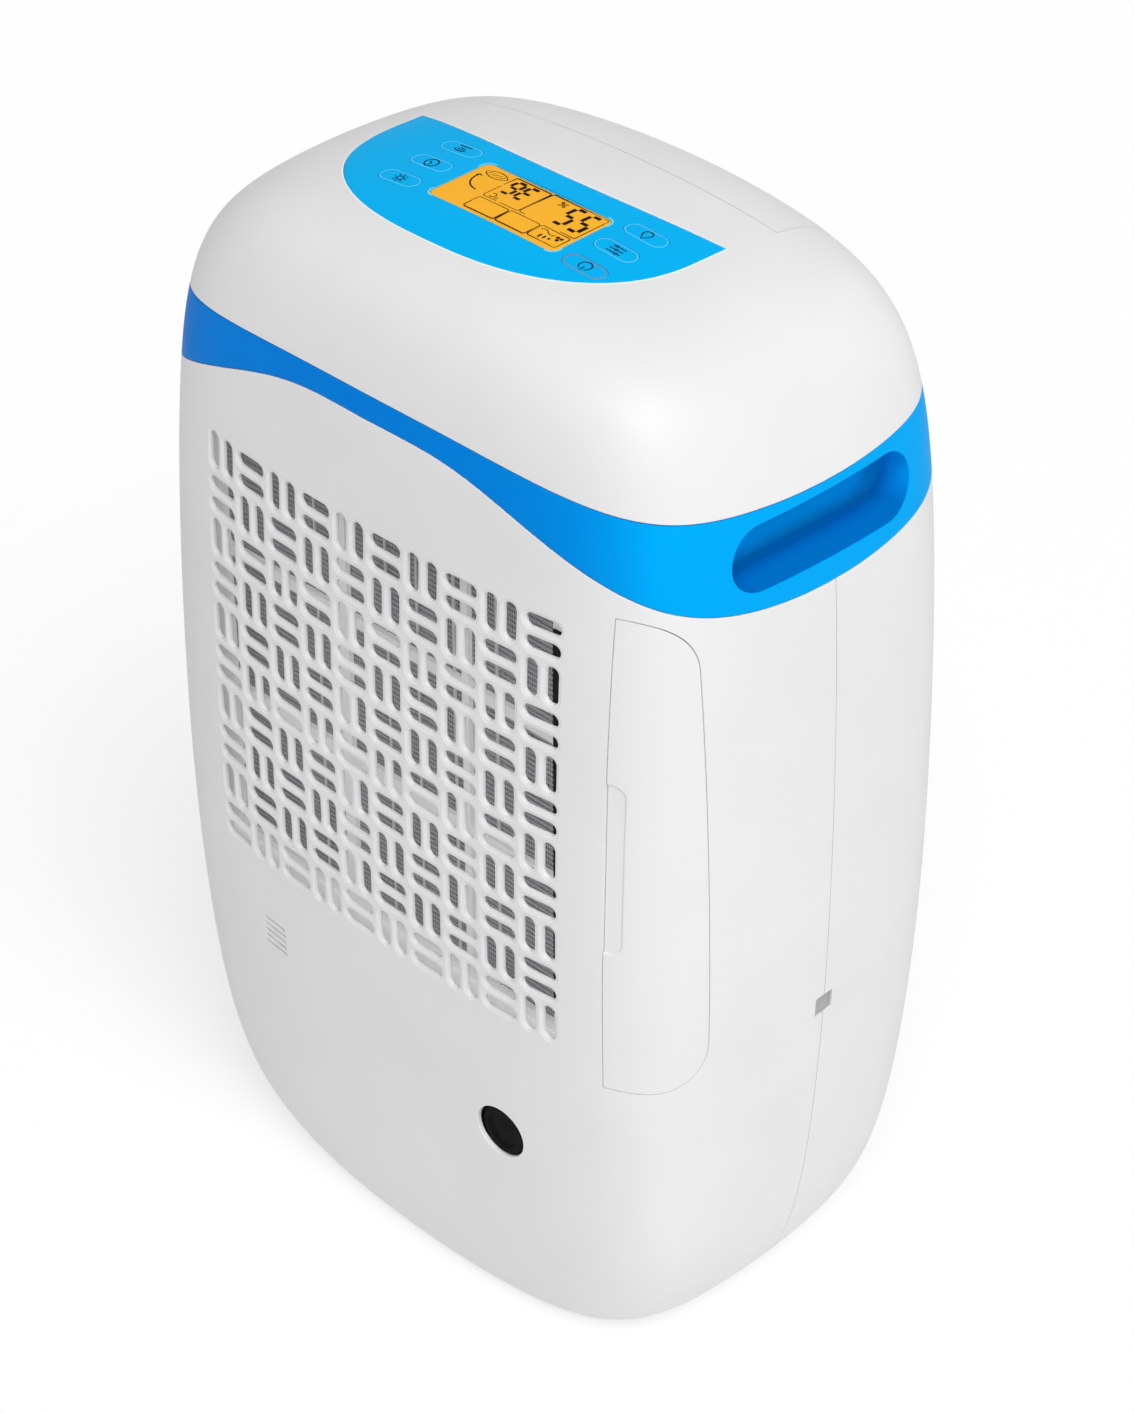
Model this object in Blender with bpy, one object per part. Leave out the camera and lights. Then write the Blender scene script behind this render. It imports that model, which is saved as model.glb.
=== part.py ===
"""Compressor dehumidifier: a soft-cornered cabinet with a blue trim band, built as separate pieces.

Lengths and places are written in millimetres and turned into metres when a mesh is made.
+Z is up, the front (where the air leaves and the tank comes out) faces -Y, and the intake
grille faces +Y. The origin is on the floor under the middle of the cabinet.
"""

import math

import bmesh
import bpy
from mathutils import Matrix, Vector

MM = 0.001

# --- Cabinet form -----------------------------------------------------------------------
# A point lies on the cabinet's skin where plan_sum(x, y) ** PLAN_POWER + height_sum(z) = 1.
HALF_WIDTH = 188.0
HALF_DEPTH = 123.4
WIDTH_ROUND = 0.495      # share of the round (square-law) term across the width
DEPTH_ROUND = 0.216
CORNER_POWER = 5.87      # power of the flat-sided term
PLAN_POWER = 1.17
WIDEST_Z = 263.0
RISE = 319.3             # from the widest level to the crown
RISE_ROUND = 0.407
RISE_POWER = 8.93
DROP = 287.6             # from the widest level to the form's own lowest point, under the floor
DROP_ROUND = 0.524
DROP_POWER = 7.45

WALL = 2.5
GAP = 0.3                # clearance between neighbouring pieces
SEAM_Y = -5.0            # joint plane of the front and rear shells
SHELL_BOTTOM = 3.0
SIDES = 40               # points round the cabinet
SHELL_LEVELS = 9
DOME_LEVELS = 10         # even, because the dome's inner side has every second level

# --- Trim band: both edges wave round the cabinet as sums of cosines of the turning angle ----
BAND_MIDDLE_Y = -8.0     # the wave turns about this line, not the cabinet's middle
BAND_TOP = (512.15, -9.75, -1.99, 0.0)
BAND_BOTTOM = (482.4, -31.1, -3.64, 2.16)
HANDLE_Y = -1.6
HANDLE_Z = 478.4
HANDLE_LENGTH = 119.2
HANDLE_HEIGHT = 35.0
HANDLE_TAPER = 2.8       # how much higher the recess floor is at its rear end
HANDLE_INNER_X = 154.0   # depth line of the hand pocket
POCKET_WALL = 2.0

# --- Intake grille ----------------------------------------------------------------------
GRILLE_CELLS = 10
GRILLE_PITCH = 24.5
GRILLE_X = -1.6
GRILLE_Z = 331.5
SLOT_LENGTH = 20.3
SLOT_WIDTH = 7.4
SLOT_SPREAD = 5.9        # from the cell's middle to each slot of its pair

# --- Rear openings ----------------------------------------------------------------------
DRAIN_X = -84.0
DRAIN_Z = 131.5
DRAIN_RADIUS = 15.0
VENT_X = 82.0
VENT_Z = 163.5
VENT_WIDTH = 17.5
VENT_PITCH = 4.0
VENT_SLOTS = 5
DOOR_REAR_X = -147.0
DOOR_FRONT_Y = 74.5
DOOR_LEAN = 6.0          # how much further back the front edge is at the top than at the bottom
DOOR_LOW_Z = 194.0
DOOR_HIGH_Z = 463.0
DOOR_CORNER = 27.0
NOTCH_LOW_Z = 278.0
NOTCH_HIGH_Z = 374.0
NOTCH_DEPTH = 8.5
CLIP_Z = 203.0
CLIP_SIZE = 12.0

# --- Top: control panel, keys and outlet flap -----------------------------------------------
PANEL_X = 10.0           # middle of the panel sheet
PANEL_HALF_WIDTH = 101.0
PANEL_CORNER_Y = -24.3   # front corners
PANEL_BOW = 8.5          # how far the front edge bows to the rear in the middle
PANEL_WIDEST_Y = -8.0
PANEL_REACH = 76.7       # from the widest line to the rear edge
PANEL_POWER = 2.4
SCREEN_Y = 18.0
SCREEN_WIDTH = 83.0
SCREEN_DEPTH = 38.4
KEY_X = 60.8
KEY_Y = (-3.2, 16.2, 36.3)
KEY_WIDTH = 25.0
KEY_DEPTH = 11.0
FLAP_LEFT_X = -93.0
FLAP_RIGHT_X = 108.5
FLAP_REAR_Y = -55.5
FLAP_AXIS_Y = -74.0
FLAP_AXIS_Z = 560.0
FLAP_RADIUS = 36.0       # the flap's front edge lies on this circle about its axis
FLAP_REAR_GAP = 1.6
LIP = 1.2                # thickness of the cover's lip behind the flap

# --- Filter cassette ---------------------------------------------------------------------
FILTER_LOW = (-141.0, 96.5, 197.0)
FILTER_HIGH = (140.0, 99.5, 450.0)
FILTER_CELLS_X = ((-104.0, -47.1), (-42.6, 37.8), (45.0, 127.0))
FILTER_CELLS_Z = ((203.0, 285.5), (293.3, 370.7), (377.0, 440.0))
FILTER_STAYS_X = (-64.5, -35.5, -10.0, 11.5, 62.0)   # thin uprights that hold the mesh
FILTER_STAY = 1.6
FILTER_STAY_DEPTH = 1.5
RAIL_LOW = (-128.0, 92.5, 180.0)     # the rear shell's rail that the cassette slides on
RAIL_HIGH = (140.0, 125.0, 196.4)

# --- Tank ----------------------------------------------------------------------------------
TANK_HALF_WIDTH = 128.0
TANK_BACK_Y = -14.0
TANK_LOW_Z = 34.0
TANK_HIGH_Z = 178.0
TANK_WALL = 2.2
TANK_PANEL_HALF_WIDTH = 138.0
TANK_PANEL_LOW_Z = 26.0
TANK_PANEL_HIGH_Z = 206.0
TANK_PANEL_CORNER = 22.0
TANK_HANDLE_Y = -44.0
TANK_HANDLE_Z = 184.6

# --- Inside ---------------------------------------------------------------------------------
COMPRESSOR_X = 70.0
COMPRESSOR_Y = 50.0
COMPRESSOR_RADIUS = 47.0
COMPRESSOR_LOW_Z = 34.0
MOUNT_CIRCLE = 46.0      # circle of the compressor's rubber mounts
COMPRESSOR_HIGH_Z = 178.0
COIL_HALF_WIDTH = 120.0
COIL_LOW_Z = 212.0
COIL_HIGH_Z = 446.0
EVAPORATOR_Y = (66.0, 89.0)
CONDENSER_Y = (36.0, 59.0)
FAN_Z = 342.0
FAN_Y = (-88.0, -16.0)
IMPELLER_RADIUS = 78.0
IMPELLER_BLADES = 18
PIPE_RADIUS = 3.2
PAN_INSET = 4.5
FLOOR_Z = 6.5            # inner floor of the base pan
FOOT_X = 105.0
FOOT_Y = 62.0
FOOT_RADIUS = 10.0
INLET_Y = -50.0
INLET_Z = 72.0
INLET_FACE_X = 167.0


# ------------------------------------------------------------------ materials and objects ----
def material(name, color, roughness=0.45, metallic=0.0, alpha=1.0):
    """A Principled material of one colour."""
    made = bpy.data.materials.get(name)
    if made:
        return made
    made = bpy.data.materials.new(name)
    made.use_nodes = True
    shader = made.node_tree.nodes["Principled BSDF"]
    shader.inputs["Base Color"].default_value = (*color, 1.0)
    shader.inputs["Roughness"].default_value = roughness
    shader.inputs["Metallic"].default_value = metallic
    shader.inputs["Alpha"].default_value = alpha
    made.diffuse_color = (*color, alpha)
    return made


WHITE = ("white_plastic", (0.86, 0.86, 0.86), 0.38)
BLUE = ("blue_plastic", (0.0, 0.25, 0.80), 0.35)
PANEL_BLUE = ("panel_blue", (0.0, 0.38, 0.83), 0.3)
AMBER = ("amber_display", (1.0, 0.45, 0.03), 0.2)
BLACK = ("black_plastic", (0.02, 0.02, 0.02), 0.5)
GREY = ("grey_plastic", (0.35, 0.36, 0.38), 0.5)
MESH_GREY = ("filter_mesh", (0.45, 0.46, 0.47), 0.8)
RUBBER = ("rubber", (0.03, 0.03, 0.03), 0.8)
STEEL_BLACK = ("black_enamel", (0.02, 0.02, 0.022), 0.35, 0.3)
STEEL = ("steel", (0.6, 0.6, 0.6), 0.3, 1.0)
FINS = ("aluminium_fins", (0.72, 0.73, 0.75), 0.35, 1.0)
COPPER = ("copper", (0.72, 0.36, 0.18), 0.3, 1.0)
CLEAR = ("tank_plastic", (0.75, 0.82, 0.88), 0.15, 0.0, 0.5)
BOARD = ("circuit_board", (0.02, 0.22, 0.08), 0.5)


def finish(name, bm, look, smooth_angle=35.0, move=None):
    """Makes an object from a mesh drawn in millimetres; move places its origin."""
    bmesh.ops.remove_doubles(bm, verts=bm.verts, dist=0.01)
    bmesh.ops.recalc_face_normals(bm, faces=bm.faces)
    origin = Vector(move or (0.0, 0.0, 0.0))
    bmesh.ops.translate(bm, verts=bm.verts, vec=-origin)
    bmesh.ops.scale(bm, verts=bm.verts, vec=(MM, MM, MM))
    mesh = bpy.data.meshes.new(name)
    bm.to_mesh(mesh)
    bm.free()
    mesh.shade_smooth()
    mesh.set_sharp_from_angle(angle=math.radians(smooth_angle))
    mesh.materials.append(material(*look))
    made = bpy.data.objects.new(name, mesh)
    made.location = origin * MM
    bpy.context.scene.collection.objects.link(made)
    return made


def cutter(bm, name="cutter"):
    """A helper solid that only cuts others."""
    made = finish(name, bm, GREY)
    made.hide_render = True
    made.display_type = "WIRE"
    return made


def combine(target, tool, operation):
    """Adds a Boolean modifier with the exact solver."""
    step = target.modifiers.new(operation.lower(), "BOOLEAN")
    step.operation = operation
    step.solver = "EXACT"
    step.object = tool
    return target


def cut(target, *tools):
    for tool in tools:
        combine(target, tool, "DIFFERENCE")
    return target


def keep(target, tool):
    return combine(target, tool, "INTERSECT")


def add(target, *tools):
    for tool in tools:
        combine(target, tool, "UNION")
    return target


# ------------------------------------------------------------------------- cabinet form ----
def mixed(u, round_share, power):
    return round_share * u * u + (1.0 - round_share) * u ** power


def height_sum(z, inset):
    if z > WIDEST_Z:
        return mixed((z - WIDEST_Z) / (RISE - inset), RISE_ROUND, RISE_POWER)
    return mixed((WIDEST_Z - z) / (DROP - inset), DROP_ROUND, DROP_POWER)


def skin_radius(angle, z, inset=0.0):
    """Distance from the upright centre line to the skin at a turning angle and a height."""
    room = max(0.0, 1.0 - height_sum(z, inset)) ** (1.0 / PLAN_POWER)
    across = abs(math.cos(angle)) / (HALF_WIDTH - inset)
    deep = abs(math.sin(angle)) / (HALF_DEPTH - inset)
    low, high = 0.0, 260.0
    for _ in range(36):
        middle = 0.5 * (low + high)
        plan = mixed(middle * across, WIDTH_ROUND, CORNER_POWER)
        plan += mixed(middle * deep, DEPTH_ROUND, CORNER_POWER)
        if plan < room:
            low = middle
        else:
            high = middle
    return low


def directions(count=SIDES):
    """Turning angles, closer together round the corners than along the flat sides."""
    angles = []
    for i in range(count):
        turn = 2.0 * math.pi * i / count
        across = math.copysign(abs(math.cos(turn)) ** 0.62, math.cos(turn))
        deep = math.copysign(abs(math.sin(turn)) ** 0.62, math.sin(turn))
        angles.append(math.atan2(HALF_DEPTH * deep, HALF_WIDTH * across))
    return angles


def wave(angle, terms):
    """Height of a band edge at a turning angle."""
    radius = skin_radius(angle, 480.0)
    x = radius * math.cos(angle)
    y = radius * math.sin(angle) - BAND_MIDDLE_Y
    turn = math.atan2(y, x)
    return sum(size * math.cos(2.0 * k * turn) for k, size in enumerate(terms))


def skin_ring(heights, inset):
    """A ring of points on the skin, one for each direction, at the given heights."""
    ring = []
    for angle, z in zip(directions(), heights):
        radius = skin_radius(angle, z, inset)
        ring.append(Vector((radius * math.cos(angle), radius * math.sin(angle), z)))
    return ring


def crown(inset):
    return Vector((0.0, 0.0, WIDEST_Z + RISE - inset))


# -------------------------------------------------------------------------- basic solids ----
def stitch(bm, rings, closed=True):
    """Joins successive rings of equal length with quads; closed joins the last to the first."""
    loops = [[bm.verts.new(point) for point in ring] for ring in rings]
    pairs = list(zip(loops, loops[1:]))
    if closed:
        pairs.append((loops[-1], loops[0]))
    for lower, upper in pairs:
        for i in range(len(lower)):
            j = (i + 1) % len(lower)
            bm.faces.new((lower[i], lower[j], upper[j], upper[i]))
    return loops


def fan(bm, loop, apex):
    """Closes a loop with triangles to one point."""
    tip = bm.verts.new(apex)
    for i in range(len(loop)):
        bm.faces.new((loop[i], loop[(i + 1) % len(loop)], tip))


def loft(rings):
    """A closed solid through rings, with a flat cap at each end."""
    bm = bmesh.new()
    loops = stitch(bm, rings, closed=False)
    bm.faces.new(loops[0])
    bm.faces.new(loops[-1])
    return bm


def prism(outline, axis, low, high):
    """Extrudes a flat outline. Its two coordinates are the other two axes, in X, Y, Z order."""
    rings = []
    for depth in (low, high):
        points = []
        for a, b in outline:
            point = [a, b]
            point.insert("XYZ".index(axis), depth)
            points.append(Vector(point))
        rings.append(points)
    return loft(rings)


def block(low, high):
    outline = [(low[0], low[1]), (high[0], low[1]), (high[0], high[1]), (low[0], high[1])]
    return prism(outline, "Z", low[2], high[2])


def arc(centre, radius, start, end, steps):
    """Points on an arc, angles in degrees."""
    points = []
    for i in range(steps + 1):
        turn = math.radians(start + (end - start) * i / steps)
        points.append((centre[0] + radius * math.cos(turn), centre[1] + radius * math.sin(turn)))
    return points


def circle(centre, radius, steps=16):
    return arc(centre, radius, 0.0, 360.0 - 360.0 / steps, steps - 1)


def rounded(low, high, radius, steps=3):
    """A rectangle with round corners."""
    points = []
    corners = ((high[0] - radius, low[1] + radius, -90), (high[0] - radius, high[1] - radius, 0),
               (low[0] + radius, high[1] - radius, 90), (low[0] + radius, low[1] + radius, 180))
    for a, b, start in corners:
        points += arc((a, b), radius, start, start + 90, steps)
    return points


def tube(path, radius, sides=8):
    """A round bar swept along a path of points, with flat ends."""
    points = [Vector(point) for point in path]
    rings = []
    side = None
    for i, point in enumerate(points):
        before = points[max(i - 1, 0)]
        after = points[min(i + 1, len(points) - 1)]
        along = (after - before).normalized()
        if side is None:
            side = along.orthogonal().normalized()
        side = (side - along * side.dot(along)).normalized()
        up = along.cross(side)
        ring = []
        for k in range(sides):
            turn = 2.0 * math.pi * k / sides
            ring.append(point + radius * (math.cos(turn) * side + math.sin(turn) * up))
        rings.append(ring)
    return loft(rings)


def turned(profile, centre, axis="Z", sides=20):
    """A solid of revolution; profile holds (radius, height) from bottom to top."""
    rings = []
    for radius, height in profile:
        ring = []
        for k in range(sides):
            turn = 2.0 * math.pi * k / sides
            point = [radius * math.cos(turn), radius * math.sin(turn)]
            point.insert("XYZ".index(axis), height)
            ring.append(Vector(centre) + Vector(point))
        rings.append(ring)
    return loft(rings)


def merged(*parts):
    """One mesh holding several separate solids, for cutters."""
    bm = bmesh.new()
    for part in parts:
        mesh = bpy.data.meshes.new("part")
        part.to_mesh(mesh)
        part.free()
        bm.from_mesh(mesh)
        bpy.data.meshes.remove(mesh)
    return bm


def bent(path, radius, steps=4):
    """Rounds the corners of a path, so that a tube bends instead of folding."""
    points = [Vector(point) for point in path]
    smooth = [points[0]]
    for before, corner, after in zip(points, points[1:], points[2:]):
        reach = min(radius, (before - corner).length * 0.49, (after - corner).length * 0.49)
        start = corner + (before - corner).normalized() * reach
        end = corner + (after - corner).normalized() * reach
        for i in range(steps + 1):
            t = i / steps
            smooth.append((1 - t) ** 2 * start + 2 * t * (1 - t) * corner + t * t * end)
    smooth.append(points[-1])
    return smooth


# ------------------------------------------------------------------------ cabinet pieces ----
def cabinet_wall(low, high, levels, spacing, outer=0.0, inner=WALL):
    """A closed wall between two edge heights, each given as a function of the turning angle."""
    heights = []
    for k in range(levels + 1):
        t = (k / levels) ** spacing
        heights.append([low(a) + (high(a) - low(a)) * t for a in directions()])
    rings = [skin_ring(level, outer) for level in heights]
    rings += [skin_ring(level, inner) for level in reversed(heights)]
    bm = bmesh.new()
    stitch(bm, rings)
    return bm


def lower_wall():
    return cabinet_wall(lambda a: SHELL_BOTTOM, lambda a: wave(a, BAND_BOTTOM) - 0.5 * GAP,
                        SHELL_LEVELS, 1.6)


def dome(outer=0.0, inner=WALL):
    """The white top: a bowl from the band's upper edge to the crown."""
    top = WIDEST_Z + RISE
    outside = []
    inside = []
    for k in range(DOME_LEVELS):
        fall = (1.0 - k / DOME_LEVELS) ** 2.2
        outside.append([top - outer - (top - outer - edge_height(a)) * fall for a in directions()])
        inside.append([top - inner - (top - inner - edge_height(a)) * fall for a in directions()])
    rings = [skin_ring(level, inner) for level in reversed(inside[::2])]
    rings += [skin_ring(level, outer) for level in outside]
    bm = bmesh.new()
    loops = stitch(bm, rings, closed=False)
    fan(bm, loops[0], crown(inner))
    fan(bm, loops[-1], crown(outer))
    return bm


def edge_height(angle):
    return wave(angle, BAND_TOP) + 0.5 * GAP


def core(inset, low, high, levels=10):
    """The solid inside the skin between two heights, used to trim inner parts to the form."""
    rings = []
    for k in range(levels + 1):
        z = low + (high - low) * k / levels
        rings.append(skin_ring([z] * SIDES, inset))
    return loft(rings)


def slot_outline(x, z, upright):
    """A long slot in X and Z."""
    across, tall = (SLOT_WIDTH, SLOT_LENGTH) if upright else (SLOT_LENGTH, SLOT_WIDTH)
    left, low = x - 0.5 * across, z - 0.5 * tall
    return [(left, low), (left + across, low), (left + across, low + tall), (left, low + tall)]


def grille_slots():
    """Pairs of slots, upright and level by turns, like woven strips."""
    slots = []
    middle = 0.5 * (GRILLE_CELLS - 1)
    for column in range(GRILLE_CELLS):
        for row in range(GRILLE_CELLS):
            x = GRILLE_X + (middle - column) * GRILLE_PITCH
            z = GRILLE_Z + (middle - row) * GRILLE_PITCH
            upright = (column + row) % 2 == 0
            for side in (-SLOT_SPREAD, SLOT_SPREAD):
                place = (x + side, z) if upright else (x, z + side)
                slots.append(prism(slot_outline(*place, upright), "Y", 95.0, 135.0))
    return cutter(merged(*slots), "grille_cutter")


def vent_slots():
    slots = []
    for k in range(VENT_SLOTS):
        z = VENT_Z + (k - 0.5 * (VENT_SLOTS - 1)) * VENT_PITCH
        low = (VENT_X - 0.5 * VENT_WIDTH, 105.0, z - 0.8)
        slots.append(block(low, (VENT_X + 0.5 * VENT_WIDTH, 135.0, z + 0.8)))
    return cutter(merged(*slots), "vent_cutter")


def door_outline(grow):
    """The filter door in Y and Z, with round front corners and a leaning front edge."""
    front = DOOR_FRONT_Y - grow
    low = DOOR_LOW_Z - grow
    high = DOOR_HIGH_Z + grow
    outline = [(140.0, low), (140.0, high)]
    outline += arc((front + DOOR_CORNER, high - DOOR_CORNER), DOOR_CORNER, 90, 180, 4)
    outline += arc((front + DOOR_CORNER, low + DOOR_CORNER), DOOR_CORNER, 180, 270, 4)
    middle = 0.5 * (low + high)
    return [(y + DOOR_LEAN * (z - middle) / (high - low), z) for y, z in outline]


def clip_block(side, grow):
    x = side * 188.0
    half = 0.5 * CLIP_SIZE + grow
    low = (min(x - 12, x + 12), SEAM_Y - half, CLIP_Z - half)
    return block(low, (max(x - 12, x + 12), SEAM_Y + half, CLIP_Z + half))


def make_housings():
    rear_half = cutter(block((-220, SEAM_Y + 0.5 * GAP, -20), (220, 160, 560)), "rear_half")
    front_half = cutter(block((-220, -160, -20), (220, SEAM_Y - 0.5 * GAP, 560)), "front_half")
    door_hole = cutter(prism(door_outline(0.0), "X", -230.0, DOOR_REAR_X), "door_hole")
    drain = cutter(prism(circle((DRAIN_X, DRAIN_Z), DRAIN_RADIUS), "Y", 100, 140), "drain_hole")
    clips = cutter(merged(clip_block(-1, 0.0), clip_block(1, 0.0)), "clip_windows")
    tank_hole = cutter(prism(tank_outline(0.0), "Y", -150.0, -60.0), "tank_hole")
    inlet_hole = cutter(prism(inlet_outline(GAP), "X", 140.0, 200.0), "inlet_hole")

    rear = keep(finish("rear_housing", lower_wall(), WHITE), rear_half)
    cut(rear, door_hole, grille_slots(), vent_slots(), drain, clips)
    rail = keep(cutter(block(RAIL_LOW, RAIL_HIGH), "filter_rail"),
                cutter(core(1.0, 150.0, 230.0, 6), "rail_limit"))
    add(rear, rail)
    front = keep(finish("front_housing", lower_wall(), WHITE), front_half)
    cut(front, tank_hole, clips, inlet_hole)

    for side, word in ((-1, "left"), (1, "right")):
        clip = finish("seam_clip_" + word, cabinet_wall(
            lambda a: CLIP_Z - 12, lambda a: CLIP_Z + 12, 2, 1.0, 1.4, 3.9), WHITE)
        keep(clip, cutter(clip_block(side, -GAP), "clip_window_" + word))


def make_band():
    band = finish("trim_band", cabinet_wall(
        lambda a: wave(a, BAND_BOTTOM) + 0.5 * GAP,
        lambda a: wave(a, BAND_TOP) - 0.5 * GAP, 2, 1.0), BLUE)
    for side, word in ((-1, "left"), (1, "right")):
        reach = sorted((side * 230.0, side * HANDLE_INNER_X))
        cup_reach = sorted((side * 230.0, side * (HANDLE_INNER_X - POCKET_WALL)))
        cup = cutter(prism(handle_outline(POCKET_WALL), "X", *cup_reach), "cup_" + word)
        keep(cup, cutter(core(0.9, 420.0, 520.0, 6), "cup_limit_" + word))
        add(band, cup)
        cut(band, cutter(prism(handle_outline(0.0), "X", *reach), "hand_space_" + word))


def handle_outline(grow):
    """The hand recess in Y and Z; its floor rises a little toward the rear."""
    half = 0.5 * HANDLE_LENGTH + grow
    tall = 0.5 * HANDLE_HEIGHT + grow
    outline = []
    for y, z in rounded((HANDLE_Y - half, HANDLE_Z - tall), (HANDLE_Y + half, HANDLE_Z + tall),
                        tall - 0.1, 4):
        rise = HANDLE_TAPER * (0.5 + (y - HANDLE_Y) / HANDLE_LENGTH)
        outline.append((y, z + rise * max(0.0, HANDLE_Z - z) / tall))
    return outline


def panel_outline(grow, steps=10):
    """The D-shaped control panel in X and Y: slightly bowed in front, bulging to the rear."""
    half = PANEL_HALF_WIDTH + grow
    reach = PANEL_REACH + grow
    outline = []
    for k in range(9):
        share = k / 4.0 - 1.0
        y = PANEL_CORNER_Y - grow + PANEL_BOW * (1.0 - share * share)
        outline.append((PANEL_X + half * share, y))
    for k in range(2 * steps + 1):
        turn = math.pi * k / (2 * steps)
        x = math.copysign(abs(math.cos(turn)) ** (2.0 / PANEL_POWER), math.cos(turn))
        y = abs(math.sin(turn)) ** (2.0 / PANEL_POWER)
        outline.append((PANEL_X + half * x, PANEL_WIDEST_Y + reach * y))
    return outline


def key_outline(x, y, grow):
    low = (x - 0.5 * KEY_WIDTH - grow, y - 0.5 * KEY_DEPTH - grow)
    high = (x + 0.5 * KEY_WIDTH + grow, y + 0.5 * KEY_DEPTH + grow)
    return rounded(low, high, 0.5 * KEY_DEPTH + grow - 0.1, 2)


def screen_outline(grow):
    half = 0.5 * SCREEN_WIDTH + grow
    deep = 0.5 * SCREEN_DEPTH + grow
    return rounded((-half, SCREEN_Y - deep), (half, SCREEN_Y + deep), 3.0, 2)


KEYS = (("key_swing", KEY_X, 0), ("key_timer", KEY_X, 1), ("key_dim", KEY_X, 2),
        ("key_humidity", -KEY_X, 0), ("key_mode", -KEY_X, 1), ("key_power", -KEY_X, 2))


def flap_outline(grow, rear_y):
    """The flap's side view in Y and Z: inside a circle about its axis, ahead of rear_y."""
    radius = FLAP_RADIUS + grow
    reach = rear_y - FLAP_AXIS_Y
    start = math.degrees(math.acos(reach / radius))
    outline = [(rear_y, 600.0), (FLAP_AXIS_Y - 12.0, 600.0)]
    outline += arc((FLAP_AXIS_Y, FLAP_AXIS_Z), radius, 105.0, 360.0 - start, 12)
    return outline


def make_top():
    cover = finish("top_cover", dome(), WHITE)
    panel_hole = cutter(prism(panel_outline(0.0), "Z", 540, 620), "panel_hole")
    flap_hole = cutter(prism(flap_outline(0.8, FLAP_REAR_Y + FLAP_REAR_GAP), "X",
                             FLAP_LEFT_X - 0.8, FLAP_RIGHT_X + 0.8), "flap_hole")
    relief = cutter(block((FLAP_LEFT_X - 2, -60, 540), (FLAP_RIGHT_X + 2, -48, 600)), "lip_relief")
    keep(relief, cutter(core(LIP, 530.0, WIDEST_Z + RISE - LIP - 0.02, 12), "lip_limit"))
    cut(cover, panel_hole, flap_hole, relief)

    panel = keep(finish("control_overlay", dome(), PANEL_BLUE),
                 cutter(prism(panel_outline(-GAP), "Z", 541, 621), "panel_limit"))
    openings = [prism(screen_outline(0.0), "Z", 539, 622)]
    for name, x, row in KEYS:
        openings.append(prism(key_outline(x, KEY_Y[row], 0.0), "Z", 539, 622))
    cut(panel, cutter(merged(*openings), "panel_openings"))

    keep(finish("display_window", dome(), AMBER),
         cutter(prism(screen_outline(-GAP), "Z", 541, 621), "screen_limit"))
    for name, x, row in KEYS:
        keep(finish(name, dome(), PANEL_BLUE),
             cutter(prism(key_outline(x, KEY_Y[row], -GAP), "Z", 541, 621), name + "_limit"))

    flap = keep(finish("outlet_flap", dome(), WHITE),
                cutter(prism(flap_outline(0.0, FLAP_REAR_Y), "X", FLAP_LEFT_X, FLAP_RIGHT_X),
                       "flap_limit"))
    return cover, flap


def tank_outline(grow):
    return rounded((-TANK_PANEL_HALF_WIDTH - grow, TANK_PANEL_LOW_Z - grow),
                   (TANK_PANEL_HALF_WIDTH + grow, TANK_PANEL_HIGH_Z + grow),
                   TANK_PANEL_CORNER + grow, 4)


def union_of(name, parts, look, smooth_angle=35.0):
    """One object from overlapping solids, drawn in millimetres."""
    first = finish(name, parts[0], look, smooth_angle)
    for number, part in enumerate(parts[1:]):
        add(first, cutter(part, name + "_part_" + str(number)))
    return first


def rod(start, end, axis, centre, radius, sides=12):
    """A round bar along an axis; centre gives the other two coordinates."""
    return prism(circle(centre, radius, sides), axis, start, end)


# ------------------------------------------------------------------- flap, frame and drive ----
def make_flap_drive(flap):
    axis = (FLAP_AXIS_Y, FLAP_AXIS_Z)
    ear = arc(axis, 5.0, 180.0, 360.0, 6) + [(FLAP_AXIS_Y + 8.0, 577.0), (FLAP_AXIS_Y - 8.0, 577.0)]
    ears = cutter(merged(prism(ear, "X", -87.0, -84.0), prism(ear, "X", 84.0, 87.0)), "flap_ears")
    keep(ears, cutter(core(1.0, 530.0, 579.0, 12), "ear_limit"))
    stub = cutter(rod(-92.0, -85.0, "X", axis, 2.0), "flap_stub")
    add(flap, ears, stub)
    cut(flap, cutter(rod(83.0, 88.0, "X", axis, 2.3), "ear_bore"))

    finish("flap_shaft", rod(82.3, 87.6, "X", axis, 2.0), STEEL)
    finish("flap_motor", rod(63.0, 82.0, "X", axis, 7.5, 16), GREY)

    left, right = FLAP_LEFT_X - 1.0, FLAP_RIGHT_X + 1.0
    posts = [block((low, -97.0, 540.0), (low + 3.5, -50.0, 544.0)) for low in (-92.0, 57.5, 88.5)]
    posts += [block((low, FLAP_AXIS_Y - 4, 543.0), (low + 3.5, FLAP_AXIS_Y + 4, FLAP_AXIS_Z + 3.5))
              for low in (-92.0, 57.5, 88.5)]
    frame = finish("outlet_frame", block((left, -97, 533), (right, -50, 544)), WHITE)
    keep(frame, cutter(core(3.6, 530.0, 546.0, 4), "frame_limit"))
    cut(frame, cutter(block((left + 3, -93, 530), (right - 4, -53, 550)), "frame_opening"))
    for number, post in enumerate(posts):
        add(frame, cutter(post, "frame_post_" + str(number)))
    cut(frame, cutter(rod(-100.0, 100.0, "X", axis, 2.3), "frame_bore"))


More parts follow.
